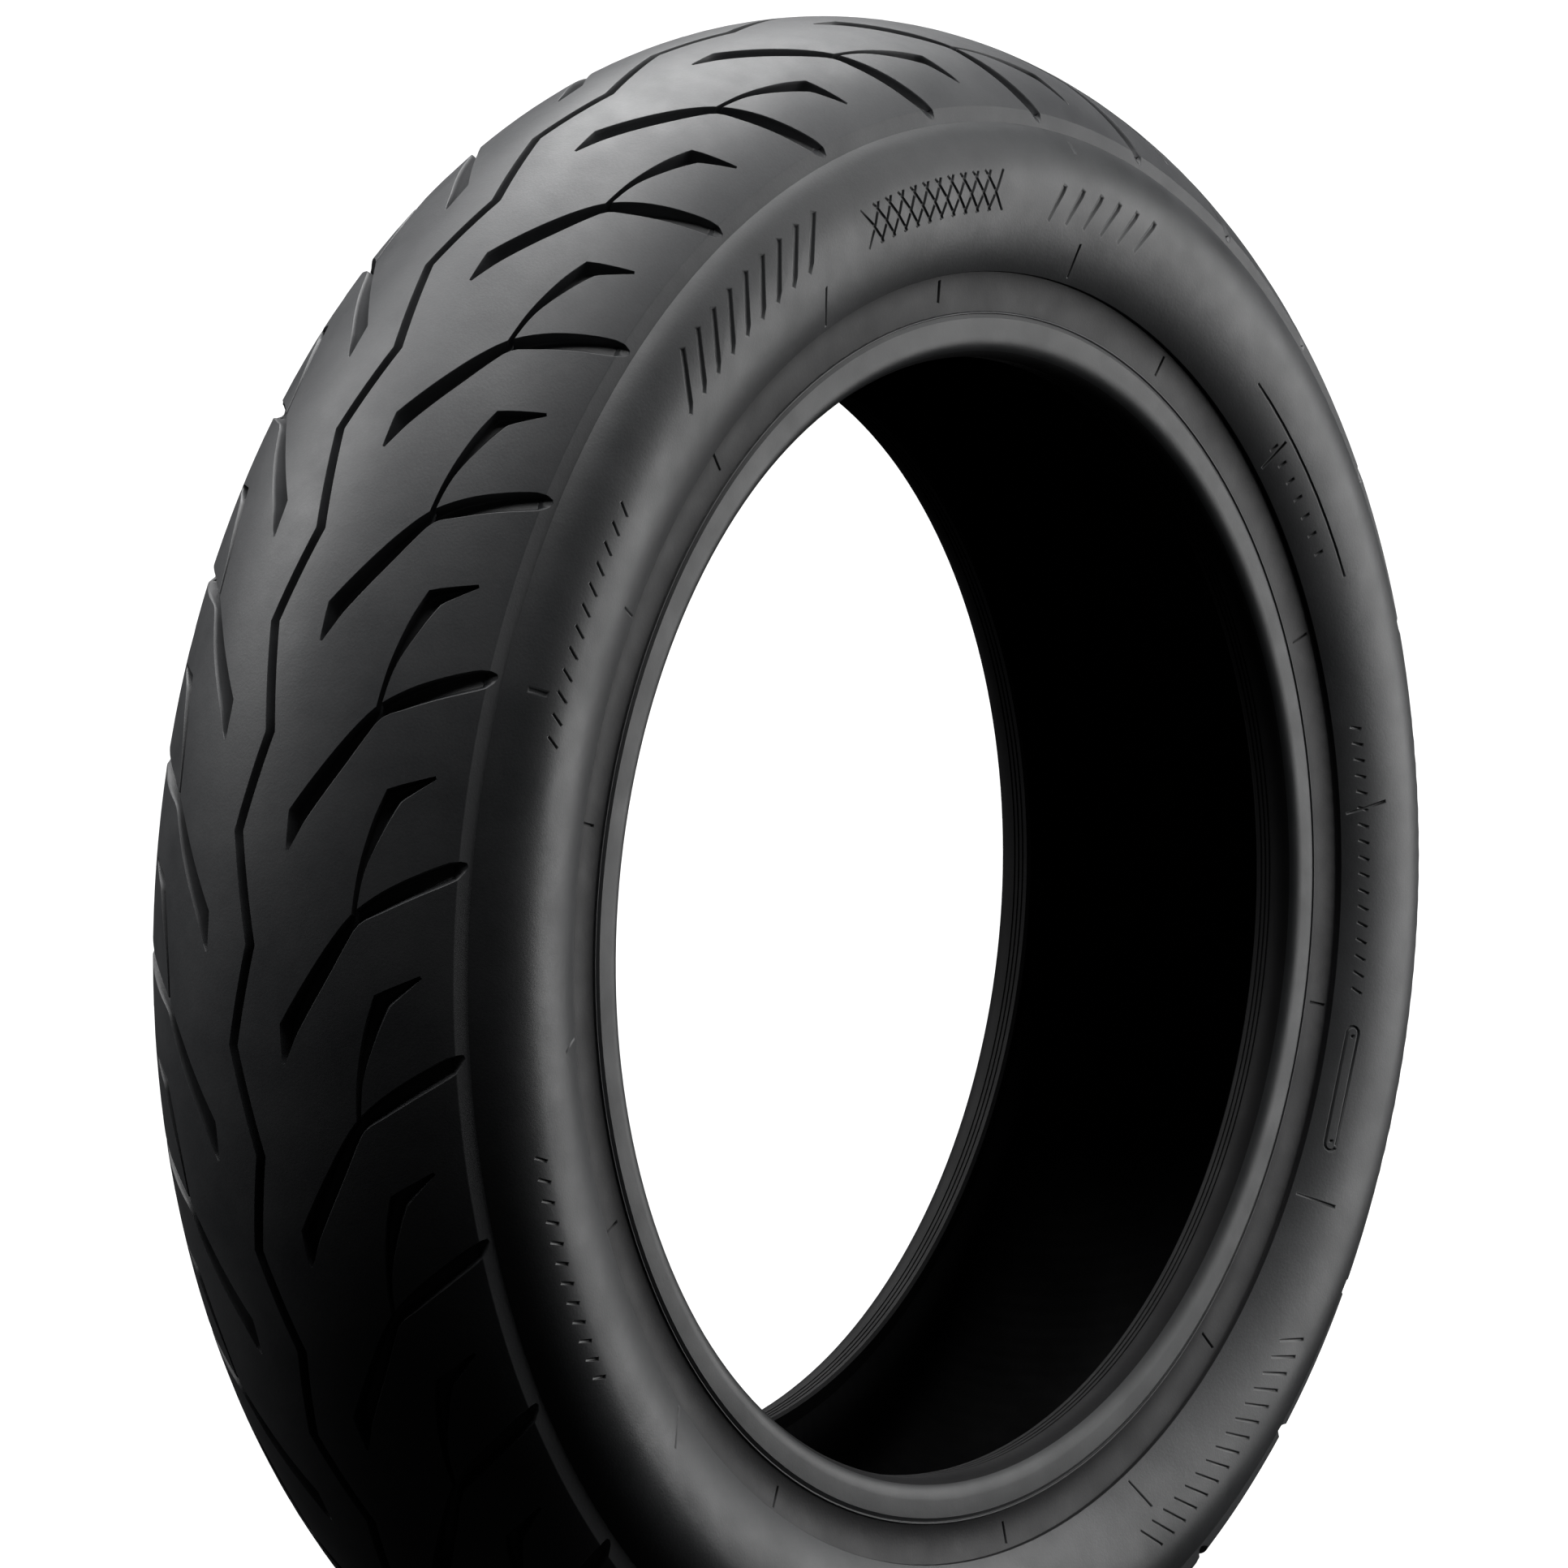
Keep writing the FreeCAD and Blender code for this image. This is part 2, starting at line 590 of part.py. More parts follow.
def zigzag_cutter():
    """The centre groove: one bent ribbon per pitch, joined end to end round the tread."""
    band = depth_band(read("zigzag_depth"), read("tread_bend"))
    pitch = 360 / read("pitch_count")
    per_degree = math.pi * read("outer_radius") / 180
    swing = read("zigzag_swing")
    half = read("zigzag_width") / 2
    near = ZIGZAG_NEAR * per_degree
    far = ZIGZAG_FAR * per_degree
    last = (ZIGZAG_NEAR + pitch) * per_degree
    slope = -2 * swing / (far - near)
    line = ((near, swing), (far, -swing), (last, swing),
            (last + ZIGZAG_OVERLAP, swing + slope * ZIGZAG_OVERLAP))
    ribbon = [(ahead, place + half) for ahead, place in line]
    ribbon += [(ahead, place - half) for ahead, place in line[::-1]]
    return round_the_tread(cutter(ribbon, -1, read("first_groove_angle"), band))


grooves = doc.addObject("Part::Feature", "groove_cutters")
grooves.Shape = Part.makeCompound(side_cutters())
grooves.Placement = FreeCAD.Placement()

zigzag = doc.addObject("Part::Feature", "zigzag_cutter")
zigzag_pieces = zigzag_cutter()
zigzag.Shape = zigzag_pieces[0].fuse(zigzag_pieces[1:]).removeSplitter()
zigzag.Placement = FreeCAD.Placement()

side_cut = doc.addObject("Part::Cut", "side_grooved_tread")
side_cut.Base = tread_blank
side_cut.Tool = grooves
tread_cap = doc.addObject("Part::Cut", "tread_cap")
tread_cap.Label = "tread_cap"
tread_cap.Base = side_cut
tread_cap.Tool = zigzag
doc.recompute()


# ---- checks and output ----

for item in doc.Objects:
    for state in ("Invalid", "Error"):
        if state in item.State:
            raise RuntimeError(f"{item.Name} failed to build")

sub_parts = [item for item in doc.Objects
             if item.TypeId == "PartDesign::Body" and item is not tread_blank] + [tread_cap]
for item in sub_parts:
    if item.Shape.isNull() or not item.Shape.isValid():
        raise RuntimeError(f"{item.Label} has no valid shape")

os.makedirs("parts", exist_ok=True)
for item in sub_parts:
    item.Shape.exportStep(f"parts/{item.Label}.step")
    print(item.Label, len(item.Shape.Solids), round(item.Shape.Volume, 1))
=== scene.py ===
import json
import math

import bmesh
import bpy
import numpy as np
from mathutils import Matrix, Vector, geometry

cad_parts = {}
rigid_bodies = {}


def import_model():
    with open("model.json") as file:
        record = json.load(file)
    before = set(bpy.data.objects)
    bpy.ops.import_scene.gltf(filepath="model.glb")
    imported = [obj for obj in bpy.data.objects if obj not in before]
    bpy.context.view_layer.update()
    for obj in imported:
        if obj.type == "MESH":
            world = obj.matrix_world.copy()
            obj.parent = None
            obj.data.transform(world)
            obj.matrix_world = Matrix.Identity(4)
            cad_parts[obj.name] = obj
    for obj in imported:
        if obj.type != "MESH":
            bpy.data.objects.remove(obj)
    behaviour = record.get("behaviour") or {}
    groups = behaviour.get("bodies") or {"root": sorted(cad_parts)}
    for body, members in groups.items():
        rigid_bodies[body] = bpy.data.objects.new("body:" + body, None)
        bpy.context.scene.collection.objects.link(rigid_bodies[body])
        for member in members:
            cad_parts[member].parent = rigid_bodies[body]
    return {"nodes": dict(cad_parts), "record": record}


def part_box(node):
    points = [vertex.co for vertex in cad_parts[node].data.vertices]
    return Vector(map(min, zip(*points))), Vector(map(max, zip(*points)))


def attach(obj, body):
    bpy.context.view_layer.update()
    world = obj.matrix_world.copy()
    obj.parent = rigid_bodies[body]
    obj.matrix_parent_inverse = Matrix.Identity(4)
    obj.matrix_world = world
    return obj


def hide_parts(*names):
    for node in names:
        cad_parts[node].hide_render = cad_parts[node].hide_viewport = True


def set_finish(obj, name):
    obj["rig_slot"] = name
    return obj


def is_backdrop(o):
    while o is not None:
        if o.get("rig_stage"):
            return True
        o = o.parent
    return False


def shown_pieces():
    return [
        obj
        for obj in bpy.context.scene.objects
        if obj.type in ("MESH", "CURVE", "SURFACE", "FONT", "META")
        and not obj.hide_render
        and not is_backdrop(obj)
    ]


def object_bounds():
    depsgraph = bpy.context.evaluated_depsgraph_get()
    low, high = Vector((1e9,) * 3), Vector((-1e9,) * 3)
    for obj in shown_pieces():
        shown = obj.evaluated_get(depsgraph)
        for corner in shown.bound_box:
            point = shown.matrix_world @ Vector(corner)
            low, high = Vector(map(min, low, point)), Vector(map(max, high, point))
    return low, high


# Tubeless scooter tyre on a pale studio floor.
# Shapes are in mm and turned to metres when a mesh is written; the camera, lights and floor are in
# metres. The axle is the Y axis.
# A place on a surface is (along, across): along runs round the tyre in mm, and across
# runs over its section, so that a groove or a mark can be drawn flat and wrapped on.

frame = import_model()
cad_low, cad_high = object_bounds()

MM = 0.001
SIDES = (("right", -1), ("left", 1))


def in_mm(length):
    """A length from the frame, in mm, without the mesh's rounding."""
    return round(length / MM, 1)


# ---- the section, from the frame's boxes and a few rounds ----
# A bend is a round's radius, and a place on the section is (sideways, radius).

OUTER_R = in_mm(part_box("tread_cap")[1].z)
FOOT_Y = in_mm(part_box("tread_cap")[1].y)
WIDEST_Y = in_mm(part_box("sidewall_left")[1].y)
TREAD_BEND = 65.0
EDGE_Y = 50.3
FOOT_R = 215.4
WIDEST_R = 198.0
UPPER_BEND = 20.93
LOWER_BEND = 39.25
RIM_LINE = (53.5, 175.2)
RIM_STEP = 1.2
BAND_BEND = -16.8  # hollow
FIT_LINE = (51.4, 164.4)
FIT_HEIGHT = 0.45
FIT_WIDTH = 0.7
STRIP_TOP = (52.0, 162.6)

# The casing's rounds at the crown, the wall and the flank: its inside face, and its outer one
# CASING_GAUGE further out.
LINER_GAUGE = 1.0
PLY = 0.9
CASING_GAUGE = LINER_GAUGE + 2 * PLY
CROWN_INSIDE = 66.0
CASING_BEND = CROWN_INSIDE + CASING_GAUGE
CASING_CENTRE_R = 163.0
CASING_ARC = 53.13  # degrees from the crown
WING_ROOT_LEAN = math.radians(46)
BASE_BEND = 71.4
BASE_LEAN = math.radians(38)
WALL_INSIDE = 16.0
WALL_BEND = WALL_INSIDE + CASING_GAUGE
WALL_CENTRE = (40.0, 193.0)
FLANK_SLOPE = 35  # degrees below the widest place
FLANK_BEND = 20.0
FLANK_CENTRE_R = 160.2
LINER_FOOT = (41.0, 157.5)
CORE_OUT = 48.2
TURNUPS = (167.0, 170.5)
FILLER_TOP_R = 171.9

PITCHES = 28
FIRST_MOUTH = math.radians(145.3)  # where the first groove meets the tread's edge


class Section:
    """A run of lines and arcs over a surface, read by the distance along it.

    Each part is an end and a bend: 0 is a straight line, and a negative bend is hollow.
    """

    def __init__(self, start, *parts, rounding):
        self.rounding = rounding
        places = []
        normals = []
        here = np.array(start)
        for end, bend in parts:
            there = np.array(end)
            chord = there - here
            if bend:
                half = np.hypot(*chord) / 2
                inward = np.array((chord[1], -chord[0])) / (2 * half) * math.copysign(1, bend)
                centre = (here + there) / 2 + inward * math.sqrt(bend ** 2 - half ** 2)
                first, last = [math.atan2(*((point - centre) / bend)) for point in (here, there)]
                steps = max(2, round((last - first) * bend / 1.5))
                outward = [np.array((math.sin(angle), math.cos(angle)))
                           for angle in np.linspace(first, last, steps + 1)]
                run = [centre + normal * bend for normal in outward]
            else:
                outward = [np.array((-chord[1], chord[0])) / np.hypot(*chord)] * 2
                run = [here, there]
            places += run
            normals += outward
            here = there
        places = np.array(places)
        gaps = np.hypot(*np.diff(places, axis=0).T)
        reach = np.concatenate(([0.0], np.cumsum(gaps)))
        joints = np.flatnonzero(gaps < 1e-6)
        self.corners = [float(reach[index]) for index in joints]
        for index in joints:
            for near, far, along in ((index, index - 1, -rounding), (index + 1, index + 2, rounding)):
                step = places[far] - places[near]
                places[near] += step * (rounding / np.hypot(*step))
                reach[near] += along
        self.reach, self.places, self.normals = reach, places, np.array(normals)
        self.length = float(reach[-1])

    def at(self, across):
        """Sideways place, radius, and the outward normal's two parts."""
        return [np.interp(across, self.reach, column) for column in (*self.places.T, *self.normals.T)]

    def across_at(self, radius):
        """The distance along the section to a radius, where the radius only falls."""
        return float(np.interp(-radius, -self.places[:, 1], self.reach))


EDGE_LEAN = math.asin(EDGE_Y / TREAD_BEND)
EDGE_R = OUTER_R - TREAD_BEND + TREAD_BEND * math.cos(EDGE_LEAN)
HALF_TREAD = Section((0.0, OUTER_R), ((EDGE_Y, EDGE_R), TREAD_BEND), ((FOOT_Y, FOOT_R), 0),
                     rounding=0.22)
EDGE_ACROSS = TREAD_BEND * EDGE_LEAN

HALF_WALL = Section(
    (FOOT_Y, FOOT_R),
    ((WIDEST_Y, WIDEST_R), UPPER_BEND),
    (RIM_LINE, LOWER_BEND),
    ((RIM_LINE[0] - RIM_STEP, RIM_LINE[1]), 0),
    (FIT_LINE, BAND_BEND),
    ((FIT_LINE[0] + FIT_HEIGHT, FIT_LINE[1] - 0.3 * FIT_WIDTH), 0),
    ((FIT_LINE[0] + FIT_HEIGHT, FIT_LINE[1] - 0.7 * FIT_WIDTH), 0),
    ((FIT_LINE[0], FIT_LINE[1] - FIT_WIDTH), 0),
    (STRIP_TOP, 0),
    rounding=0.12,
)


def tread_section(across):
    """The tread's section, from the right foot over the crown to the left foot."""
    side = np.where(across < 0, -1.0, 1.0)
    y, radius, normal_y, normal_r = HALF_TREAD.at(np.abs(across))
    return side * y, radius, side * normal_y, normal_r


def wall_section(side):
    """One sidewall's section, from the foot of the tread down to the rim strip."""
    def section(across):
        y, radius, normal_y, normal_r = HALF_WALL.at(across)
        return side * y, radius, side * normal_y, normal_r
    return section


def on_casing(bend, lean):
    """A place on a round that follows the casing's crown."""
    return bend * math.sin(lean), CASING_CENTRE_R + bend * math.cos(lean)


def on_wall(lean):
    """A place on the casing's outer face at the sidewall; lean is below the widest place."""
    return (WALL_CENTRE[0] + WALL_BEND * math.cos(lean),
            WALL_CENTRE[1] - WALL_BEND * math.sin(lean))


# ---- grooves and marks ----

class Ribbon:
    """A groove or a moulded mark: a centreline with a half width and a depth."""

    def __init__(self, stations, levels, depth):
        self.stations = np.array(stations, float)
        self.levels = levels
        self.depth = depth

    def moved(self, ahead):
        return Ribbon(self.stations + (ahead, 0, 0), self.levels, self.depth)

    def outline(self, inset):
        """The closed line at an inset: 0 is the ribbon's edge and 1 its centreline."""
        places = self.stations[:, :2].copy()
        half = self.stations[:, 2] * (1 - inset)
        steps = np.diff(places, axis=0)
        lengths = np.hypot(*steps.T)[:, None]
        steps = steps / lengths
        pull = min(1.5, 0.8 * self.stations[0, 2] + 0.3) * inset
        push = min(1.5, 0.8 * self.stations[-1, 2] + 0.3) * inset
        places[0] += steps[0] * min(pull, 0.6 * lengths[0, 0])
        places[-1] -= steps[-1] * min(push, 0.6 * lengths[-1, 0])
        before = np.vstack((steps[:1], steps))
        after = np.vstack((steps, steps[-1:]))
        mean = before + after
        mean /= np.hypot(*mean.T)[:, None]
        mitre = np.maximum((mean * before).sum(1), 0.7)
        aside = np.stack((-mean[:, 1], mean[:, 0]), 1) * (half / mitre)[:, None]
        return np.vstack((places + aside, (places - aside)[::-1]))

    def nearness(self, points):
        """For each point the inset there, and its distance outside the edge."""
        start = self.stations[:-1]
        run = np.diff(self.stations, axis=0)
        offset = points[:, None, :] - start[None, :, :2]
        length = (run[:, :2] ** 2).sum(1)
        share = np.clip((offset * run[None, :, :2]).sum(2) / length, 0, 1)
        gap = np.hypot(*(offset - share[..., None] * run[None, :, :2]).transpose(2, 0, 1))
        half = start[None, :, 2] + share * run[None, :, 2]
        return (1 - gap / half).max(1), (gap - half).min(1)

    def sink(self, inset):
        return np.interp(inset, *zip(*self.levels))


def smooth(points, corners=(), step=2.6):
    """Stations along a curve through the points, which turns sharply at corners."""
    points = np.array(points, float)
    stations = []
    for index in range(len(points) - 1):
        start, end = points[index], points[index + 1]
        open_start = index == 0 or index in corners
        open_end = index + 2 == len(points) or index + 1 in corners
        before = 2 * start - end if open_start else points[index - 1]
        after = 2 * end - start if open_end else points[index + 2]
        count = max(1, round(float(np.hypot(*(end - start)[:2])) / step))
        for part in np.arange(count) / count:
            stations.append(0.5 * (2 * start + (end - before) * part
                                   + (2 * before - 5 * start + 4 * end - after) * part ** 2
                                   + (3 * start - before - 3 * end + after) * part ** 3))
    stations.append(points[-1])
    return stations


# ---- a ring built from its unrolled surface ----

SEED_CLEARANCE = 1.1  # how far the plain surface's points stay from a groove or mark
UNWORN_SHADE_DEPTH = 0.1  # mean depth in mm past which a face takes unworn rubber, made darker still to paint shade into grooves and marks
SAME = 2e-3  # places nearer than this are one
SEAM_SNAP = 0.12  # outline points nearer than this to a seam are moved on to it
ROW_CLEARANCE = 0.35  # rows nearer than this share of their spacing to a ridge are left out
CENTRELINE = 0.999  # the inset at which an outline is a ribbon's centreline


class Flat:
    """The unrolled surface of one repeat: points, fixed edges and what each edge is."""

    def __init__(self, width):
        self.width = width
        self.points = []
        self.edges = []
        self.marks = []

    def line(self, places, mark=None, closed=False):
        """Adds an open or closed line; its points snap to the two seams of the repeat."""
        first = len(self.points)
        for along, across in places:
            for seam in (0.0, self.width):
                if abs(along - seam) < SEAM_SNAP:
                    along = seam
            self.points.append((float(along), float(across)))
        count = len(places)
        for index in range(count if closed else count - 1):
            self.edges.append((first + index, first + (index + 1) % count))
            self.marks.append(mark)


def unrolled(width, low, high, ribbons, ridges, seed_along, seed_across):
    """Triangles over one repeat, with how deep each point is sunk."""
    columns = np.linspace(0, width, round(width / seed_along) + 1)
    rows = np.linspace(low, high, round((high - low) / seed_across) + 1)
    ridge_gap = ROW_CLEARANCE * seed_across
    rows = [row for row in rows[1:-1] if min(abs(row - ridge) for ridge in ridges) > ridge_gap]

    def clearance(points):
        return np.min([ribbon.nearness(points)[1] for ribbon in ribbons], axis=0)

    border = np.array([(0.0, row) for row in rows])
    free_rows = [row for row, gap in zip(rows, clearance(border)) if gap > SEED_CLEARANCE]
    border_rows = sorted(free_rows + list(ridges) + [low, high])
    flat = Flat(width)
    for along in (0.0, width):
        flat.line([(along, row) for row in border_rows])
    for across in (low, high, *ridges):
        flat.line([(along, across) for along in columns])
    for which, ribbon in enumerate(ribbons):
        for level, (inset, share) in enumerate(ribbon.levels):
            if inset < 1:
                flat.line(ribbon.outline(inset), (which, level), closed=True)
            else:
                flat.line(ribbon.outline(CENTRELINE)[:len(ribbon.stations)], (which, level))
    half = (columns[1] - columns[0]) / 2
    seeds = np.array([(along + half * (index % 2), row)
                      for index, row in enumerate(rows) for along in columns[:-1] + half / 2])
    inside = (seeds[:, 0] > half * 0.6) & (seeds[:, 0] < width - half * 0.6)
    seeds = seeds[inside & (clearance(seeds) > SEED_CLEARANCE)]
    flat.points += [tuple(seed) for seed in seeds.tolist()]

    places, edges, faces, _, edge_sources, _ = geometry.delaunay_2d_cdt(
        [Vector(point) for point in flat.points], flat.edges, [], 0, 1e-4)
    places = np.array([tuple(place) for place in places])
    known = {}
    for edge, sources in zip(edges, edge_sources):
        for source in sources:
            mark = flat.marks[source]
            if mark is not None:
                for point in edge:
                    known.setdefault(point, {})[mark[0]] = mark[1]
    triangles = np.array(faces)
    middle = places[triangles].mean(1)
    keep = ((middle[:, 0] > 0) & (middle[:, 0] < width) & (middle[:, 1] > low) & (middle[:, 1] < high))
    span = np.ptp(places[triangles], axis=1).min(1)
    triangles = triangles[keep & (span > 1e-7)]

    sunk = np.zeros(len(places))
    for which, ribbon in enumerate(ribbons):
        share = ribbon.sink(np.clip(ribbon.nearness(places)[0], 0, 1))
        for point, levels in known.items():
            if which in levels:
                share[point] = ribbon.levels[levels[which]][1]
        depth = share * ribbon.depth(places[:, 1])
        sunk = np.where(np.abs(depth) > np.abs(sunk), depth, sunk)
    used = np.unique(triangles)
    number = {point: index for index, point in enumerate(used)}
    triangles = [[number[point] for point in face] for face in triangles.tolist()]
    return places[used], triangles, sunk[used]


def ring_solid(name, node, section, low, high, back, ribbons, ridges,
               repeats=1, start=0.0, radius=OUTER_R, seed_along=6.8, seed_across=4.0):
    """A closed ring: the unrolled surface wrapped on, and a plain back that closes it."""
    width = 2 * math.pi * radius / repeats
    places, triangles, sunk = unrolled(width, low, high, ribbons, ridges, seed_along, seed_across)
    along, across = places.T

    def on_line(values, value):
        return np.flatnonzero(np.abs(values - value) < SAME)

    first = sorted(on_line(along, 0), key=lambda point: across[point])
    last = sorted(on_line(along, width), key=lambda point: across[point])
    if len(first) != len(last):
        raise ValueError(f"{name}: the two ends of a repeat don't match, {len(first)} and {len(last)}")
    partner = dict(zip(last, first))
    own = [point for point in range(len(places)) if point not in partner]
    place_of = {point: index for index, point in enumerate(own)}

    def global_index(repeat, point):
        if point in partner:
            return (repeat + 1) % repeats * len(own) + place_of[partner[point]]
        return repeat * len(own) + place_of[point]

    y, r, normal_y, normal_r = section(across)
    depth_y, depth_r = y - normal_y * sunk, r - normal_r * sunk
    coords = []
    normals = []
    for repeat in range(repeats):
        turn = start + (along + repeat * width) / radius
        cos, sin = np.cos(turn), np.sin(turn)
        spots = np.stack((depth_r * cos, depth_y, depth_r * sin), 1)
        facing = np.stack((normal_r * cos, normal_y, normal_r * sin), 1)
        facing[np.abs(sunk) > 1e-6] = 0
        coords.append(spots[own])
        normals.append(facing[own])
    faces = [[global_index(repeat, point) for point in face]
             for repeat in range(repeats) for face in triangles]

    edge_points = []
    for value in (high, low):
        edge_points.append(sorted(on_line(across, value), key=lambda point: along[point]))
    if len(edge_points[0]) != len(edge_points[1]):
        raise ValueError(f"{name}: its two edges don't match")
    per_repeat = len(edge_points[0]) - 1
    steps = along[edge_points[0]][:per_repeat]
    base = repeats * len(own)
    for repeat in range(repeats):
        for step in steps:
            turn = start + (step + repeat * width) / radius
            coords.append(np.array([(r * math.cos(turn), y, r * math.sin(turn)) for y, r in back]))
            normals.append(np.zeros((len(back), 3)))

    def column(repeat, index):
        if index == per_repeat:
            repeat, index = (repeat + 1) % repeats, 0
        inner = base + (repeat * per_repeat + index) * len(back)
        return [global_index(repeat, edge_points[0][index]),
                *range(inner, inner + len(back)),
                global_index(repeat, edge_points[1][index])]

    for repeat in range(repeats):
        for index in range(per_repeat):
            here, there = column(repeat, index), column(repeat, index + 1)
            for step in range(len(here) - 1):
                faces.append([here[step], here[step + 1], there[step + 1], there[step]])

    mesh = bpy.data.meshes.new(name)
    mesh.from_pydata((np.vstack(coords) * MM).tolist(), [], faces)
    # Faces sunk past this depth take slot 1: unworn rubber, darkened as painted shade in grooves and
    # marks.
    deep = [int(sunk[face].mean() > UNWORN_SHADE_DEPTH) for face in triangles]
    plain = [0] * (len(faces) - len(deep) * repeats)
    mesh.polygons.foreach_set("material_index", deep * repeats + plain)
    shell = bmesh.new()
    shell.from_mesh(mesh)
    bmesh.ops.recalc_face_normals(shell, faces=shell.faces)
    shell.to_mesh(mesh)
    shell.free()
    mesh.shade_smooth()
    mesh.normals_split_custom_set_from_vertices(np.vstack(normals).tolist())
    piece = bpy.data.objects.new(name, mesh)
    bpy.context.scene.collection.objects.link(piece)
    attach(piece, "root")
    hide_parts(node)
    return piece


# ---- tread ----

GROOVE_LEVELS = ((0.0, 0.0), (0.06, 0.03), (0.15, 0.2), (0.28, 0.86), (0.5, 1.0), (1.0, 1.0))
GROOVE_FLOOR_BEND = 72.5
GROOVE_DEPTH = 6.2
MOUTH_FADE = 3.0
MAIN_GROOVE = (
    (-1.9, 60.4, 0.7),
    (0.2, 56.6, 2.7),
    (6.4, 45.0, 2.8),
    (11.0, 37.5, 2.4),
    (15.1, 32.0, 1.7),
    (21.5, 27.8, 2.1),
    (28.9, 23.5, 2.5),
    (43.6, 14.6, 2.8),
    (53.0, 12.6, 0.4),
)
BRANCH_GROOVE = (
    (15.3, 31.6, 0.6),
    (2.5, 33.0, 0.9),
    (-9.8, 36.3, 1.9),
    (-18.4, 39.4, 2.5),
    (-24.8, 49.3, 0.5),
)
REPEAT_LEAD = 1.7  # where the first mouth falls in its repeat, so that no groove point is on a seam
ZIGZAG_PEAKS = (math.radians(5.4), math.radians(11.5))
ZIGZAG_SWING = 3.0
ZIGZAG_HALF = 1.5
ZIGZAG_DEPTH = 5.0
ZIGZAG_STEP = 4.5
MAIN_CORNER, BRANCH_CORNER = 7, 3  # the point where each groove turns sharply
OVERHANG = 4  # a groove this near to a repeat is drawn on it too


def groove_depth(across):
    """A groove's depth along the surface normal: its floor is rounder than the tread."""
    reach = np.abs(across)
    lean = np.minimum(reach, EDGE_ACROSS) / TREAD_BEND
    drop = GROOVE_FLOOR_BEND + GROOVE_DEPTH - TREAD_BEND
    floor = np.sqrt(GROOVE_FLOOR_BEND ** 2 - (drop * np.sin(lean)) ** 2) - drop * np.cos(lean)
    fade = np.clip(1 - (reach - EDGE_ACROSS) / MOUTH_FADE, 0, 1)
    return (TREAD_BEND - floor) * fade


def side_grooves(side, lag, width):
    """One half's grooves as they fall on one repeat of the tread."""
    grooves = []
    for points, corner in ((MAIN_GROOVE, MAIN_CORNER), (BRANCH_GROOVE, BRANCH_CORNER)):
        stations = [(ahead + lag, side * across, half)
                    for ahead, across, half in smooth(points, (corner,))]
        groove = Ribbon(stations, GROOVE_LEVELS, groove_depth)
        for repeat in range(-2, 3):
            copy = groove.moved(repeat * width)
            reach = copy.stations[:, 0]
            if reach.max() > -OVERHANG and reach.min() < width + OVERHANG:
                grooves.append(copy)
    return grooves


def zigzag_groove(width):
    """The centre groove over one repeat and a little more at both ends."""
    near, far = [peak * OUTER_R for peak in ZIGZAG_PEAKS]
    peaks = []
    for repeat in range(-2, 3):
        lead = REPEAT_LEAD + repeat * width
        peaks.append((near + lead, -ZIGZAG_SWING, ZIGZAG_HALF))
        peaks.append((far + lead, ZIGZAG_SWING, ZIGZAG_HALF))
    stations = smooth(peaks, range(len(peaks)), step=ZIGZAG_STEP)
    return Ribbon(stations, GROOVE_LEVELS, lambda across: np.full(np.shape(across), ZIGZAG_DEPTH))


def make_tread():
    width = 2 * math.pi * OUTER_R / PITCHES
    grooves = [*side_grooves(-1, REPEAT_LEAD, width),
               *side_grooves(1, REPEAT_LEAD + width / 2, width), zigzag_groove(width)]
    edge, soft = HALF_TREAD.corners[0], HALF_TREAD.rounding
    ridges = [side * (edge + shift) for side in (-1, 1) for shift in (-soft, soft)]
    half_back = [on_casing(CASING_BEND, WING_ROOT_LEAN), on_casing(CASING_BEND, BASE_LEAN)]
    half_back += [on_casing(BASE_BEND, lean) for lean in np.linspace(BASE_LEAN, 0, 5)]
    back = half_back + [(-y, r) for y, r in half_back[-2::-1]]
    return ring_solid("tread", "tread_cap", tread_section, -HALF_TREAD.length, HALF_TREAD.length,
                      back, grooves, ridges, repeats=PITCHES,
                      start=FIRST_MOUTH - REPEAT_LEAD / OUTER_R)


tread = make_tread()
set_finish(tread, "tread_rubber")


# ---- sidewalls, with their moulded marks ----
# An angle runs round the axle from +X towards +Z. The marks stand in for the lettering that
# such a tyre carries: plain bars, dashes, a hatch, an arc and a capsule.

MARK_LEVELS = ((0.0, 0.0), (0.25, 0.08), (0.55, 0.9), (1.0, 1.0))
MARK_R = 190.0
THIN, BOLD = 0.6, 1.1
RIM_TICK_STEP = 36
FIRST_INNER_TICK, FIRST_OUTER_TICK = 22, 4
BROAD_TICK, BROAD_HALF = 2, 0.75
INNER_TICK = (167.5, 174.0)
OUTER_TICK_FOOT, SHORT_TOP, LONG_TOP = 176.6, 186.0, 189.5
FRAME_DEPTH, STUD_DEPTH, STUD_HALF = 0.45, 0.6, 0.8
SEAM = -97.0  # an angle with no mark, where the unrolled sidewall starts


def along_at(angle):
    """The unrolled distance to an angle in degrees."""
    return math.radians((angle - SEAM) % 360) * MARK_R


def mark(stations, depth):
    """A mark from (degrees, radius, half width) stations; a negative depth stands out."""
    places = [(along_at(angle), HALF_WALL.across_at(radius), half)
              for angle, radius, half in stations]
    return Ribbon(places, MARK_LEVELS, lambda across: np.full(np.shape(across), depth))


def bar(angle, low, high, half=THIN, slant=0.0, depth=0.5):
    """A straight bar from one radius to another; slant turns its top round, in degrees."""
    return mark([(angle, low, half), (angle + slant, high, half)], depth)


def bars(first, last, count, low, high, **shape):
    """Equal bars in a row."""
    return [bar(angle, low, high, **shape) for angle in np.linspace(first, last, count)]


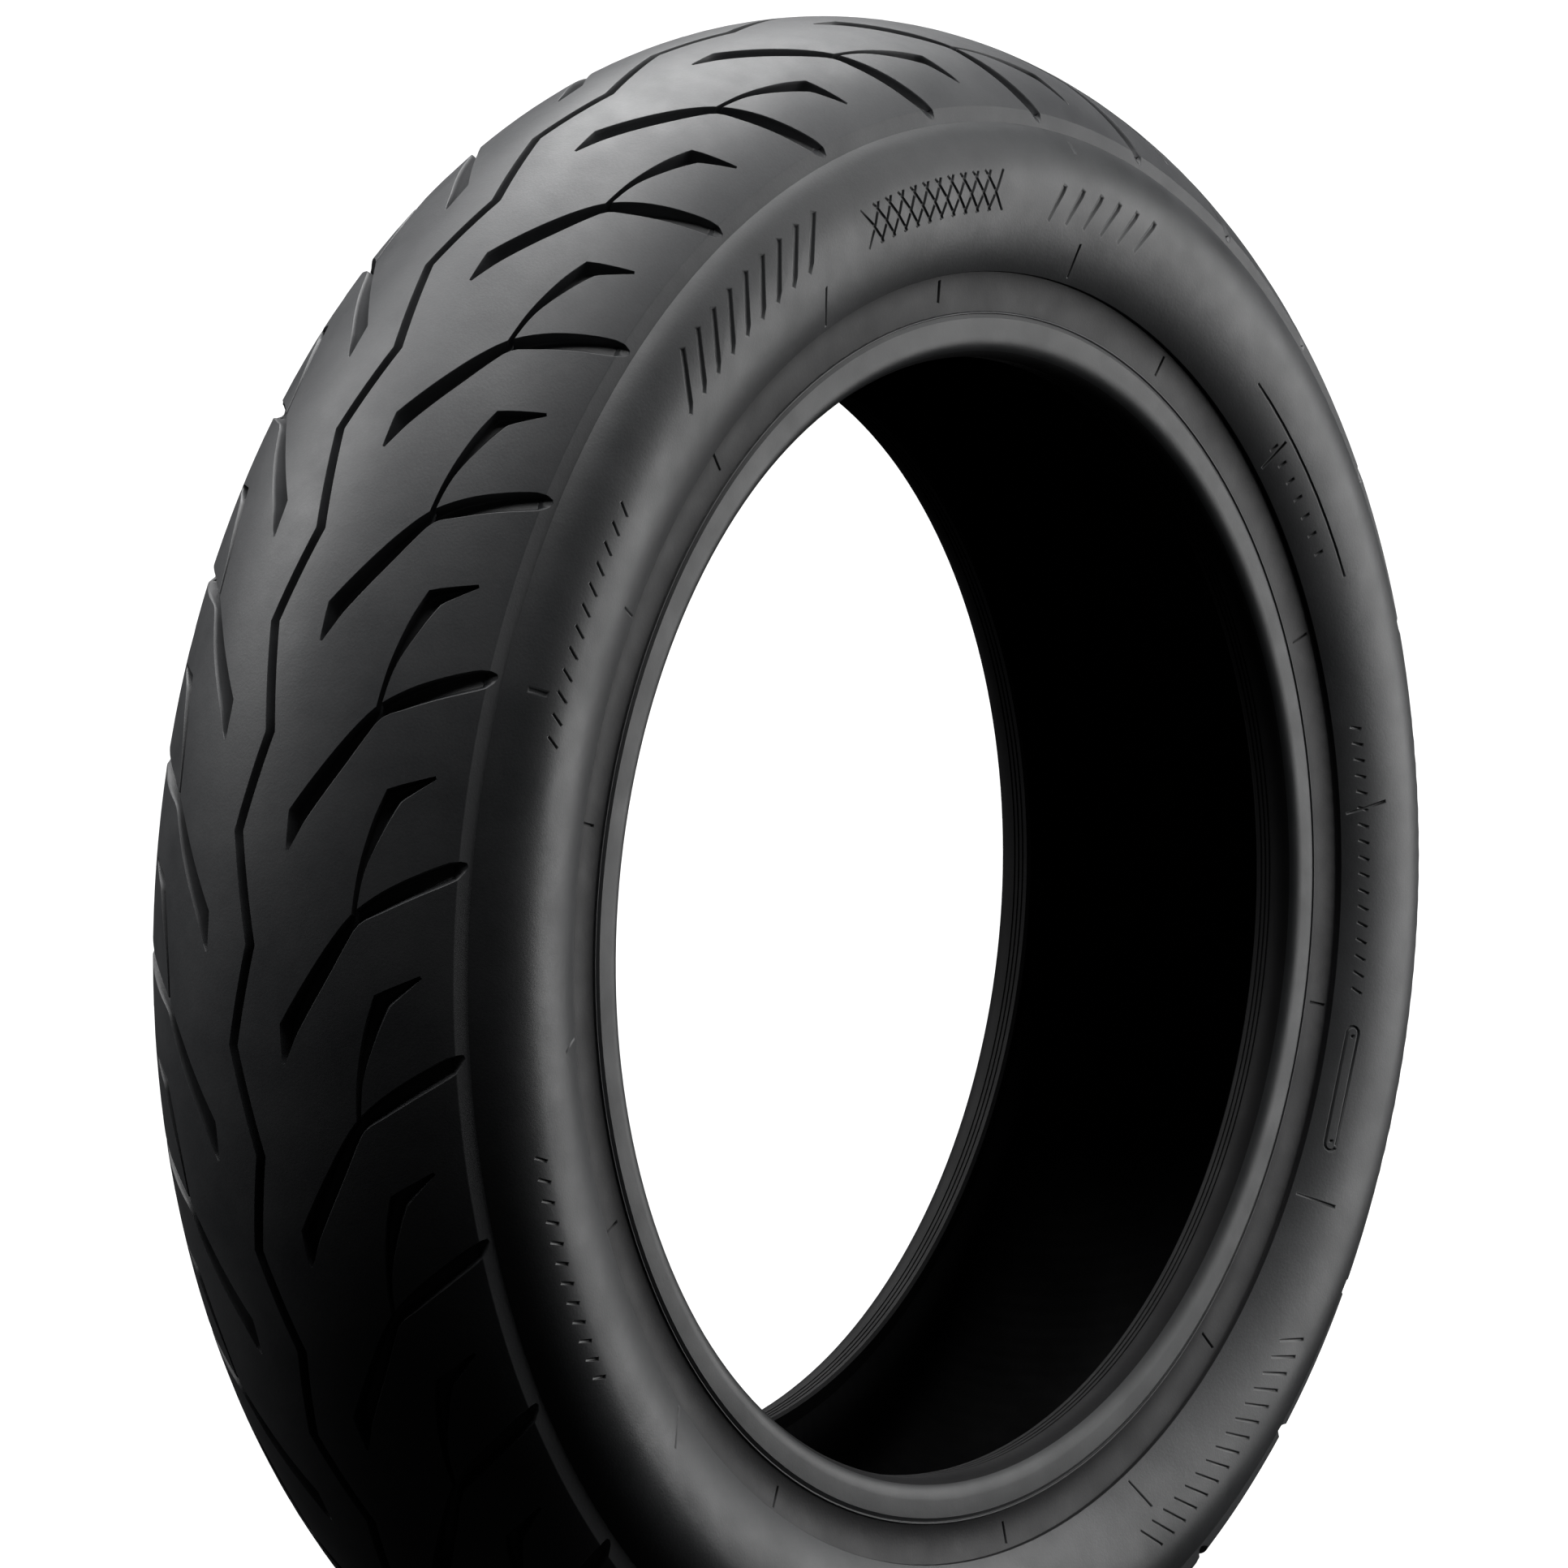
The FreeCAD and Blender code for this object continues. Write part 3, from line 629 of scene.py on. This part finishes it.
def rim_ticks():
    """Fine ticks round the rim line, by turns inside it and outside it."""
    ticks = []
    for index in range(360 // RIM_TICK_STEP):
        inner = FIRST_INNER_TICK + RIM_TICK_STEP * index
        half = BROAD_HALF if index == BROAD_TICK else THIN
        ticks.append(bar(inner, *INNER_TICK, half=half, depth=0.6))
        outer = FIRST_OUTER_TICK + RIM_TICK_STEP * index
        top = SHORT_TOP if index % 3 else LONG_TOP
        ticks.append(bar(outer, OUTER_TICK_FOOT, top, slant=0.6, depth=0.5))
    return ticks


def capsule(first, last, radius, reach):
    """A thin rounded frame with two studs in it."""
    middle = HALF_WALL.across_at(radius)
    start, end = along_at(first), along_at(last)
    outline = [(start + reach, middle - reach, THIN), (end - reach, middle - reach, THIN)]
    outline += [(end - reach + reach * math.sin(turn), middle - reach * math.cos(turn), THIN)
                for turn in np.linspace(0, math.pi, 7)[1:]]
    outline += [(start + reach, middle + reach, THIN)]
    outline += [(start + reach - reach * math.sin(turn), middle + reach * math.cos(turn), THIN)
                for turn in np.linspace(0, math.pi, 7)[1:-1]]
    outline.append((start + reach - 0.2, middle - reach, THIN))
    frame_line = Ribbon(outline, MARK_LEVELS, lambda across: np.full(np.shape(across), FRAME_DEPTH))
    studs = [Ribbon([(place - STUD_HALF, middle, STUD_HALF), (place + STUD_HALF, middle, STUD_HALF)],
                    MARK_LEVELS, lambda across: np.full(np.shape(across), STUD_DEPTH))
             for place in (start + reach + 1.0, end - reach - 1.0)]
    return [frame_line, *studs]


def wall_marks():
    """Every mark of one sidewall."""
    marks = rim_ticks()
    marks += [bar(78, 209.5, 213.5, half=BOLD), bar(158, 205.5, 211, half=BOLD)]
    marks += bars(114.5, 132.5, 9, 196, 209, half=BOLD, slant=-3.4, depth=0.6)
    marks += bars(90.5, 106.5, 11, 191.5, 203, slant=-2.2, depth=0.5)
    marks += bars(88.5, 104.5, 11, 191.5, 203, slant=2.2, depth=0.5)
    marks += bars(69.5, 82, 6, 189.5, 200.5, half=BOLD, slant=-1.8, depth=0.6)
    marks += bars(143, 161.5, 12, 199.5, 203.5, half=THIN, slant=-0.7)
    marks += [mark([(angle, 187.5, THIN) for angle in np.linspace(25.5, 47.5, 9)], 0.4)]
    marks += bars(29, 41, 7, 180.5, 183.5)
    marks += bars(-12, 12, 17, 179.8, 183.2, slant=-0.5)
    marks += capsule(-27, -15.5, 182, 1.9)
    marks += bars(-70, -45, 15, 188.5, 197, slant=2.0, depth=0.5)
    marks += bars(-168, -150, 12, 200, 204, slant=-0.7)
    return marks


def make_sidewall(name, side):
    ribbons = wall_marks()
    ridges = sorted(corner + shift for corner in HALF_WALL.corners[1:]
                    for shift in (-HALF_WALL.rounding, HALF_WALL.rounding))
    ridges.append(HALF_WALL.corners[0])
    back = [(CORE_OUT + 2 * PLY, STRIP_TOP[1]), (CORE_OUT + 2 * PLY, TURNUPS[0]),
            (CORE_OUT + PLY, TURNUPS[0]), (CORE_OUT + PLY, TURNUPS[1]),
            (CORE_OUT, TURNUPS[1]), (CORE_OUT, FILLER_TOP_R)]
    leans = np.linspace(math.radians(FLANK_SLOPE), math.radians(CASING_ARC - 90), 7)
    back += [on_wall(lean) for lean in leans]
    back.append(on_casing(CASING_BEND, WING_ROOT_LEAN))
    back = [(side * y, r) for y, r in back]
    return ring_solid(f"{name}_sidewall", f"sidewall_{name}", wall_section(side), 0.0, HALF_WALL.length,
                      back, ribbons, ridges, start=math.radians(SEAM), radius=MARK_R,
                      seed_along=6.0, seed_across=2.6)


for name, side in SIDES:
    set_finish(make_sidewall(name, side), "sidewall_rubber")


# ---- rim strips and liner: plain rings, turned as finely as the sidewalls they meet ----

RING_STEPS = 199


def lathe(name, node, outline, corners_at):
    """A closed ring turned from a closed outline of (sideways, radius) places."""
    count = len(outline)
    places = []
    for step in range(RING_STEPS):
        turn = math.radians(SEAM) + 2 * math.pi * step / RING_STEPS
        places += [(r * math.cos(turn) * MM, y * MM, r * math.sin(turn) * MM) for y, r in outline]
    faces = []
    for step in range(RING_STEPS):
        here, there = step * count, (step + 1) % RING_STEPS * count
        for index in range(count):
            after = (index + 1) % count
            faces.append((here + index, here + after, there + after, there + index))
    mesh = bpy.data.meshes.new(name)
    mesh.from_pydata(places, [], faces)
    shell = bmesh.new()
    shell.from_mesh(mesh)
    bmesh.ops.recalc_face_normals(shell, faces=shell.faces)
    for edge in shell.edges:
        edge.smooth = edge.calc_face_angle() < corners_at
    shell.to_mesh(mesh)
    shell.free()
    mesh.shade_smooth()
    piece = bpy.data.objects.new(name, mesh)
    bpy.context.scene.collection.objects.link(piece)
    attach(piece, "root")
    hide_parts(node)
    return piece


def arc(centre, bend, first, last, steps):
    """Places on an arc; its angles run from straight out (+radius) towards the left side."""
    return [(centre[0] + bend * math.sin(lean), centre[1] + bend * math.cos(lean))
            for lean in np.linspace(math.radians(first), math.radians(last), steps + 1)]


SEAT_R = frame["record"]["mounts"][0]["dims"]["r_mm"]
HEEL_BEND = 5.9
TOE = (39.7, 0.8)
CORE_CORNER_R = 156.6
CORE_CORNERS = (44.8, 47.2)
PLY_TURN = 2.8
CHAFER_TURN = 3.4
SEAT_RIBS = (41.9, 43.3, 44.7)
RIB_HALF, RIB_DEPTH = 0.3, 0.3
STRIP_CORNERS, LINER_CORNERS = math.radians(30), math.radians(40)  # sharper edges stay crisp


def strip_outline():
    """The left rim strip's section: face, heel, seat with three fine rings, toe and inside."""
    face = STRIP_TOP[0]
    outline = [STRIP_TOP]
    outline += arc((face - HEEL_BEND, SEAT_R + HEEL_BEND), HEEL_BEND, 90, 180, 8)
    for rib in reversed(SEAT_RIBS):
        outline += [(rib + RIB_HALF, SEAT_R), (rib + RIB_HALF / 2, SEAT_R + RIB_DEPTH),
                    (rib - RIB_HALF / 2, SEAT_R + RIB_DEPTH), (rib - RIB_HALF, SEAT_R)]
    outline += [(TOE[0] + TOE[1], SEAT_R), (TOE[0], SEAT_R + TOE[1]), LINER_FOOT,
                (LINER_FOOT[0] + LINER_GAUGE, LINER_FOOT[1])]
    outline += arc((CORE_CORNERS[0], CORE_CORNER_R), PLY_TURN, 270, 180, 4)
    outline += arc((CORE_CORNERS[1], CORE_CORNER_R), CHAFER_TURN, 180, 90, 4)
    outline.append((CORE_CORNERS[1] + CHAFER_TURN, STRIP_TOP[1]))
    return outline


def liner_line(gauge):
    """The casing's inner line on the left, from the crown to the bead, at a gauge outside it."""
    flank_centre = (LINER_FOOT[0] + FLANK_BEND, FLANK_CENTRE_R)
    line = arc((0.0, CASING_CENTRE_R), CROWN_INSIDE + gauge, 0, CASING_ARC, 14)
    line += arc(WALL_CENTRE, WALL_INSIDE + gauge, CASING_ARC, 90 + FLANK_SLOPE, 9)[1:]
    line += arc(flank_centre, FLANK_BEND - gauge, 270 + FLANK_SLOPE, 270, 5)
    return line + [(LINER_FOOT[0] + gauge, LINER_FOOT[1])]


def liner_outline():
    """The whole inner liner's section, from the right foot over the crown and back inside."""
    outer, inner = liner_line(LINER_GAUGE), liner_line(0.0)
    return ([(-y, r) for y, r in outer[:0:-1]] + outer + inner[::-1] + [(-y, r) for y, r in inner[1:]])


for name, side in SIDES:
    outline = [(side * y, r) for y, r in strip_outline()]
    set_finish(lathe(f"{name}_rim_strip", f"rim_strip_{name}", outline, STRIP_CORNERS), "bead_rubber")
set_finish(lathe("liner", "inner_liner", liner_outline(), LINER_CORNERS), "liner_rubber")


# ---- materials ----

class Nodes:
    """A new material's node tree, with the few steps that the materials share."""

    def __init__(self, name):
        self.material = bpy.data.materials.new(name)
        self.material.use_nodes = True
        self.tree = self.material.node_tree
        self.shader = self.tree.nodes["Principled BSDF"]
        self.place = self.add("ShaderNodeTexCoord").outputs["Object"]

    def add(self, kind, **values):
        node = self.tree.nodes.new(kind)
        for key, value in values.items():
            if key in node.inputs:
                node.inputs[key].default_value = value
            else:
                setattr(node, key, value)
        return node

    def link(self, source, target):
        self.tree.links.new(source, target)

    def noise(self, scale, detail=4.0, roughness=0.55, stretch=None):
        node = self.add("ShaderNodeTexNoise", Scale=scale, Detail=detail, Roughness=roughness)
        source = self.place
        if stretch:
            mapping = self.add("ShaderNodeMapping", Scale=stretch)
            self.link(source, mapping.inputs["Vector"])
            source = mapping.outputs["Vector"]
        self.link(source, node.inputs["Vector"])
        return node.outputs["Fac"]

    def math(self, operation, first, second=None):
        node = self.add("ShaderNodeMath", operation=operation)
        for socket, value in zip(node.inputs, (first, second)):
            if isinstance(value, (int, float)):
                socket.default_value = value
            elif value is not None:
                self.link(value, socket)
        return node.outputs[0]

    def spread(self, source, low, high):
        """A noise value's usual range, spread over low to high."""
        node = self.add("ShaderNodeMapRange")
        for key, value in (("From Min", 0.3), ("From Max", 0.7), ("To Min", low), ("To Max", high)):
            node.inputs[key].default_value = value
        self.link(source, node.inputs["Value"])
        return node.outputs["Result"]

    def shade(self, source, *stops):
        """Colours along a value, from (position, colour) stops."""
        node = self.add("ShaderNodeValToRGB")
        elements = node.color_ramp.elements
        while len(elements) < len(stops):
            elements.new(0.5)
        for element, (position, colour) in zip(elements, stops):
            element.position = position
            element.color = (*colour, 1)
        self.link(source, node.inputs["Fac"])
        return node.outputs["Color"]

    def bump(self, height, distance, strength=1.0, under=None):
        node = self.add("ShaderNodeBump", Strength=strength, Distance=distance)
        self.link(height, node.inputs["Height"])
        if under is not None:
            self.link(under, node.inputs["Normal"])
        return node.outputs["Normal"]

    def turn(self):
        """The angle round the axle in radians, the distance from it, and the place along it."""
        split = self.add("ShaderNodeSeparateXYZ")
        self.link(self.place, split.inputs[0])
        x, y, z = split.outputs
        squares = self.math("ADD", self.math("MULTIPLY", x, x), self.math("MULTIPLY", z, z))
        return self.math("ARCTAN2", z, x), self.math("SQRT", squares), y


def rubber(name, dark, light, rough, grain=1500.0, grain_height=0.00004, specular=0.4):
    """Moulded rubber: fine grain, faint blotches of bloom, and smoother patches of handling."""
    nodes = Nodes(name)
    cloud = nodes.noise(22.0, detail=5.0, roughness=0.6)
    fine = nodes.noise(grain, detail=3.0)
    tone = nodes.math("ADD", nodes.math("MULTIPLY", cloud, 0.75), nodes.math("MULTIPLY", fine, 0.25))
    nodes.link(nodes.shade(tone, (0.36, dark), (0.62, light)), nodes.shader.inputs["Base Color"])
    wear = nodes.noise(60.0, detail=6.0, roughness=0.65)
    nodes.link(nodes.spread(wear, rough[0], rough[1]), nodes.shader.inputs["Roughness"])
    nodes.shader.inputs["Specular IOR Level"].default_value = specular
    ripple = nodes.bump(nodes.noise(160.0, detail=2.0), 0.00008, 0.6)
    nodes.link(nodes.bump(fine, grain_height, 0.8, ripple), nodes.shader.inputs["Normal"])
    return nodes


def liner_rubber(name):
    """Butyl inner liner: dull, with the fine ribs that let air out of the mould."""
    nodes = rubber(name, (0.004, 0.004, 0.0045), (0.009, 0.009, 0.01), (0.62, 0.8), specular=0.15)
    angle, _, sideways = nodes.turn()
    turns, slant = nodes.math("MULTIPLY", angle, 240.0), nodes.math("MULTIPLY", sideways, 700.0)
    ribs = nodes.math("SINE", nodes.math("ADD", turns, slant))
    ground = nodes.shader.inputs["Normal"].links[0].from_socket
    nodes.link(nodes.bump(ribs, 0.0001, 0.6, ground), nodes.shader.inputs["Normal"])
    return nodes


def cord(name, dark, light, cords, lean):
    """Rubber-coated cords lying side by side, at a lean to the wheel's run."""
    nodes = Nodes(name)
    angle, _, sideways = nodes.turn()
    turns, slant = nodes.math("MULTIPLY", angle, cords), nodes.math("MULTIPLY", sideways, lean)
    phase = nodes.math("ADD", turns, slant)
    wave = nodes.math("SINE", nodes.math("ADD", phase, nodes.noise(40.0)))
    height = nodes.math("ADD", nodes.math("MULTIPLY", wave, 0.5), 0.5)
    fray = nodes.math("MULTIPLY", height, nodes.noise(900.0))
    nodes.link(nodes.shade(fray, (0.05, dark), (0.6, light)), nodes.shader.inputs["Base Color"])
    nodes.link(nodes.spread(nodes.noise(80.0), 0.6, 0.8), nodes.shader.inputs["Roughness"])
    nodes.link(nodes.bump(height, 0.0003, 0.8), nodes.shader.inputs["Normal"])
    return nodes


def woven(name, dark, light):
    """Square-woven nylon under a thin coat of rubber."""
    nodes = Nodes(name)
    angle, radius, sideways = nodes.turn()
    warp = nodes.math("SINE", nodes.math("MULTIPLY", angle, 1100.0))
    weft = nodes.math("SINE", nodes.math("MULTIPLY", nodes.math("ADD", sideways, radius), 7000.0))
    cross = nodes.math("MULTIPLY", warp, weft)
    height = nodes.math("ADD", nodes.math("MULTIPLY", cross, 0.5), 0.5)
    nodes.link(nodes.shade(height, (0.1, dark), (0.9, light)), nodes.shader.inputs["Base Color"])
    nodes.link(nodes.spread(nodes.noise(120.0), 0.55, 0.8), nodes.shader.inputs["Roughness"])
    nodes.link(nodes.bump(height, 0.0002, 0.8), nodes.shader.inputs["Normal"])
    return nodes


def drawn_steel(name):
    """Bronze-coated bead wire, drawn along its length."""
    nodes = Nodes(name)
    streak = nodes.noise(400.0, detail=5.0, stretch=(0.2, 8.0, 0.2))
    nodes.link(nodes.shade(streak, (0.35, (0.42, 0.31, 0.19)), (0.7, (0.62, 0.5, 0.36))),
               nodes.shader.inputs["Base Color"])
    nodes.shader.inputs["Metallic"].default_value = 1.0
    nodes.link(nodes.spread(streak, 0.25, 0.45), nodes.shader.inputs["Roughness"])
    nodes.link(nodes.bump(streak, 0.00003, 0.6), nodes.shader.inputs["Normal"])
    return nodes


FINISHES = {
    "tread_rubber": rubber("tread_rubber", (0.019, 0.020, 0.022), (0.034, 0.035, 0.037), (0.44, 0.56)),
    "sidewall_rubber": rubber("sidewall_rubber", (0.016, 0.017, 0.018), (0.028, 0.029, 0.031),
                              (0.42, 0.52)),
    "bead_rubber": rubber("bead_rubber", (0.010, 0.011, 0.012), (0.017, 0.018, 0.019), (0.40, 0.50),
                          grain=2200.0, grain_height=0.00002, specular=0.3),
    "liner_rubber": liner_rubber("liner_rubber"),
    "base_rubber": rubber("base_rubber", (0.014, 0.014, 0.015), (0.024, 0.024, 0.025), (0.6, 0.75)),
    "filler_rubber": rubber("filler_rubber", (0.012, 0.012, 0.013), (0.022, 0.022, 0.023), (0.5, 0.65)),
    "casing_cord": cord("casing_cord", (0.03, 0.025, 0.02), (0.16, 0.135, 0.11), 900.0, 0.0),
    "breaker_cord": cord("breaker_cord", (0.035, 0.028, 0.018), (0.2, 0.16, 0.09), 620.0, 2600.0),
    "chafer_fabric": woven("chafer_fabric", (0.02, 0.02, 0.019), (0.09, 0.09, 0.086)),
    "bead_wire": drawn_steel("bead_wire"),
}


# Three more finishes, which some faces of the tread, sidewalls and rim strips take. The first is unworn
# rubber, made far darker than the tread so that it paints shade into sunk grooves and marks.
UNWORN_SHADE = rubber("unworn_rubber", (0.0015, 0.0015, 0.0018), (0.003, 0.003, 0.0033), (0.65, 0.8),
                specular=0.05)
# Painted shade: darker rubber for the hollow band under the rim line, where shade falls.
BAND_SHADE = rubber("covered_rubber", (0.007, 0.007, 0.008), (0.013, 0.013, 0.014), (0.5, 0.6),
                 specular=0.22)
# Painted shade: near-black rubber for the bead's seat and toe inside the heel, where shade falls.
SEAT_SHADE = rubber("seat_rubber", (0.003, 0.003, 0.0034), (0.006, 0.006, 0.0065), (0.6, 0.7),
              specular=0.12)
SEAT_Y = 50.4  # inside this the rim strip is the bead's seat and toe
SLOT_FINISH, SECOND_SLOT = 0, 2  # places in a piece's list of finishes; 1 is unworn rubber with painted shade, and 2 is painted shade too


def is_shade_band(place):
    """Whether a sidewall face is in the hollow band that the rim's flange covers, which is painted
    darker as shade.
    """
    return FIT_LINE[1] < math.hypot(place.x, place.z) / MM < RIM_LINE[1] + 0.1


def is_seat(place):
    """Whether a rim strip face is inside the heel."""
    return abs(place.y) / MM < SEAT_Y


SECOND_FINISH = {"sidewall": (BAND_SHADE, is_shade_band), "rim_strip": (SEAT_SHADE, is_seat)}


def finish_with(piece, slot_name):
    """The slot's finish, with unworn rubber darkened as painted shade in what is sunk, and a second
    finish of painted shade where it belongs.
    """
    mesh = piece.data
    mesh.materials.clear()
    mesh.materials.append(FINISHES[slot_name].material)
    mesh.materials.append(UNWORN_SHADE.material)
    for kind, (second, belongs) in SECOND_FINISH.items():
        if piece.name.endswith(kind):
            mesh.materials.append(second.material)
            for face in mesh.polygons:
                if face.material_index == SLOT_FINISH and belongs(face.center):
                    face.material_index = SECOND_SLOT


for part in frame["record"]["subparts"]:
    node = frame["nodes"][part["node"]]
    node.data.materials.clear()
    node.data.materials.append(FINISHES[part["material_slot"]].material)
for piece in bpy.data.objects:
    if piece.get("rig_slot"):
        finish_with(piece, piece["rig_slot"])


# ---- camera, at the photograph's angle, a little off the tyre's middle ----

AZIMUTH = math.radians(-52.728)
ELEVATION = math.radians(6.718)
ROLL = math.radians(-0.716)
CAMERA_DISTANCE = 2.5695
AIM_LEFT = 0.0101
AIM_UP = 0.0338
LENS, SENSOR = 215.2, 36

toward_camera = Vector((math.sin(AZIMUTH) * math.cos(ELEVATION),
                        -math.cos(AZIMUTH) * math.cos(ELEVATION), math.sin(ELEVATION)))
level_right = Vector((math.cos(AZIMUTH), math.sin(AZIMUTH), 0))
level_up = toward_camera.cross(level_right)
view_right = level_right * math.cos(ROLL) + level_up * math.sin(ROLL)
view_up = level_up * math.cos(ROLL) - level_right * math.sin(ROLL)

camera = bpy.data.objects.new("camera", bpy.data.cameras.new("camera"))
camera.data.sensor_width = SENSOR
camera.data.lens = LENS
camera.data.clip_end = 100
stand = toward_camera * CAMERA_DISTANCE
backward = (stand - view_up * AIM_UP + view_right * AIM_LEFT).normalized()
upward = (view_up - backward * view_up.dot(backward)).normalized()
camera.matrix_world = Matrix.Translation(stand) @ Matrix(
    (upward.cross(backward), upward, backward)).transposed().to_4x4()
bpy.context.scene.collection.objects.link(camera)
bpy.context.scene.camera = camera


# ---- floor, world and light ----

FLOOR_HALF = 34.0
WORLD_LIGHT, WORLD_SEEN = 0.01, 1.0  # the world's strength on things, and as the camera sees it
SUN_STRENGTH, SUN_ANGLE = 4.4, math.radians(70)

floor_mesh = bpy.data.meshes.new("floor")
floor_z = cad_low.z
floor_signs = ((-1, -1), (1, -1), (1, 1), (-1, 1))
floor_corners = [(x * FLOOR_HALF, y * FLOOR_HALF, floor_z) for x, y in floor_signs]
floor_mesh.from_pydata(floor_corners, [], [(0, 1, 2, 3)])
floor = bpy.data.objects.new("floor", floor_mesh)
bpy.context.scene.collection.objects.link(floor)
floor_nodes = Nodes("floor_paper")
floor_tone = floor_nodes.shade(floor_nodes.noise(3.0), (0.3, (0.86, 0.86, 0.86)), (0.7, (0.9, 0.9, 0.9)))
floor_nodes.link(floor_tone, floor_nodes.shader.inputs["Base Color"])
floor_nodes.shader.inputs["Roughness"].default_value = 0.9
floor_nodes.shader.inputs["Specular IOR Level"].default_value = 0.1
floor_mesh.materials.append(floor_nodes.material)
floor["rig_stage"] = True
floor.visible_diffuse = False
floor.visible_glossy = False

world = bpy.data.worlds.new("studio")
bpy.context.scene.world = world
world.use_nodes = True
world_nodes = world.node_tree
background = world_nodes.nodes["Background"]
seen = world_nodes.nodes.new("ShaderNodeLightPath").outputs["Is Camera Ray"]
pale = world_nodes.nodes.new("ShaderNodeMapRange")
pale.inputs["To Min"].default_value = WORLD_LIGHT
pale.inputs["To Max"].default_value = WORLD_SEEN
world_nodes.links.new(seen, pale.inputs["Value"])
world_nodes.links.new(pale.outputs["Result"], background.inputs["Strength"])
background.inputs["Color"].default_value = (1, 1, 1, 1)


def lit_group(name, *objects):
    group = bpy.data.collections.new(name)
    for item in objects:
        group.objects.link(item)
    return group


tyre_group = lit_group("tyre_lit", *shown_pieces())
floor_group = lit_group("floor_lit", floor)


def soft_light(name, turn, lift, distance, width, power):
    """A square light that faces the tyre; turn is its angle from the camera, to the right."""
    azimuth = AZIMUTH + math.radians(turn)
    lift = math.radians(lift)
    direction = Vector((math.sin(azimuth) * math.cos(lift), -math.cos(azimuth) * math.cos(lift),
                        math.sin(lift)))
    light = bpy.data.lights.new(name, "AREA")
    light.shape = "RECTANGLE"
    light.size, light.size_y = width, width
    light.energy = power
    holder = bpy.data.objects.new(name, light)
    holder.location = direction * distance
    holder.rotation_euler = direction.to_track_quat("Z", "Y").to_euler()
    bpy.context.scene.collection.objects.link(holder)
    holder.light_linking.receiver_collection = tyre_group


FAR, NEAR = (2.2, 1.5), (1.2, 0.8)  # a light's distance and width, in metres

for name, turn, lift, (distance, width), power in (
    ("left_light", -96, 43, FAR, 52),
    ("overhead_light", 0, 80, FAR, 46),
    ("rear_light", 180, 62, FAR, 62),
    ("right_light", 100, 35, FAR, 18),
    ("near_right_light", 106, 3, NEAR, 10),
):
    soft_light(name, turn, lift, distance, width, power)

floor_sun = bpy.data.lights.new("floor_sun", "SUN")
floor_sun.energy = SUN_STRENGTH
floor_sun.angle = SUN_ANGLE
floor_light = bpy.data.objects.new("floor_sun", floor_sun)
bpy.context.scene.collection.objects.link(floor_light)
floor_light.light_linking.receiver_collection = floor_group

bpy.context.scene.view_settings.view_transform = "Standard"
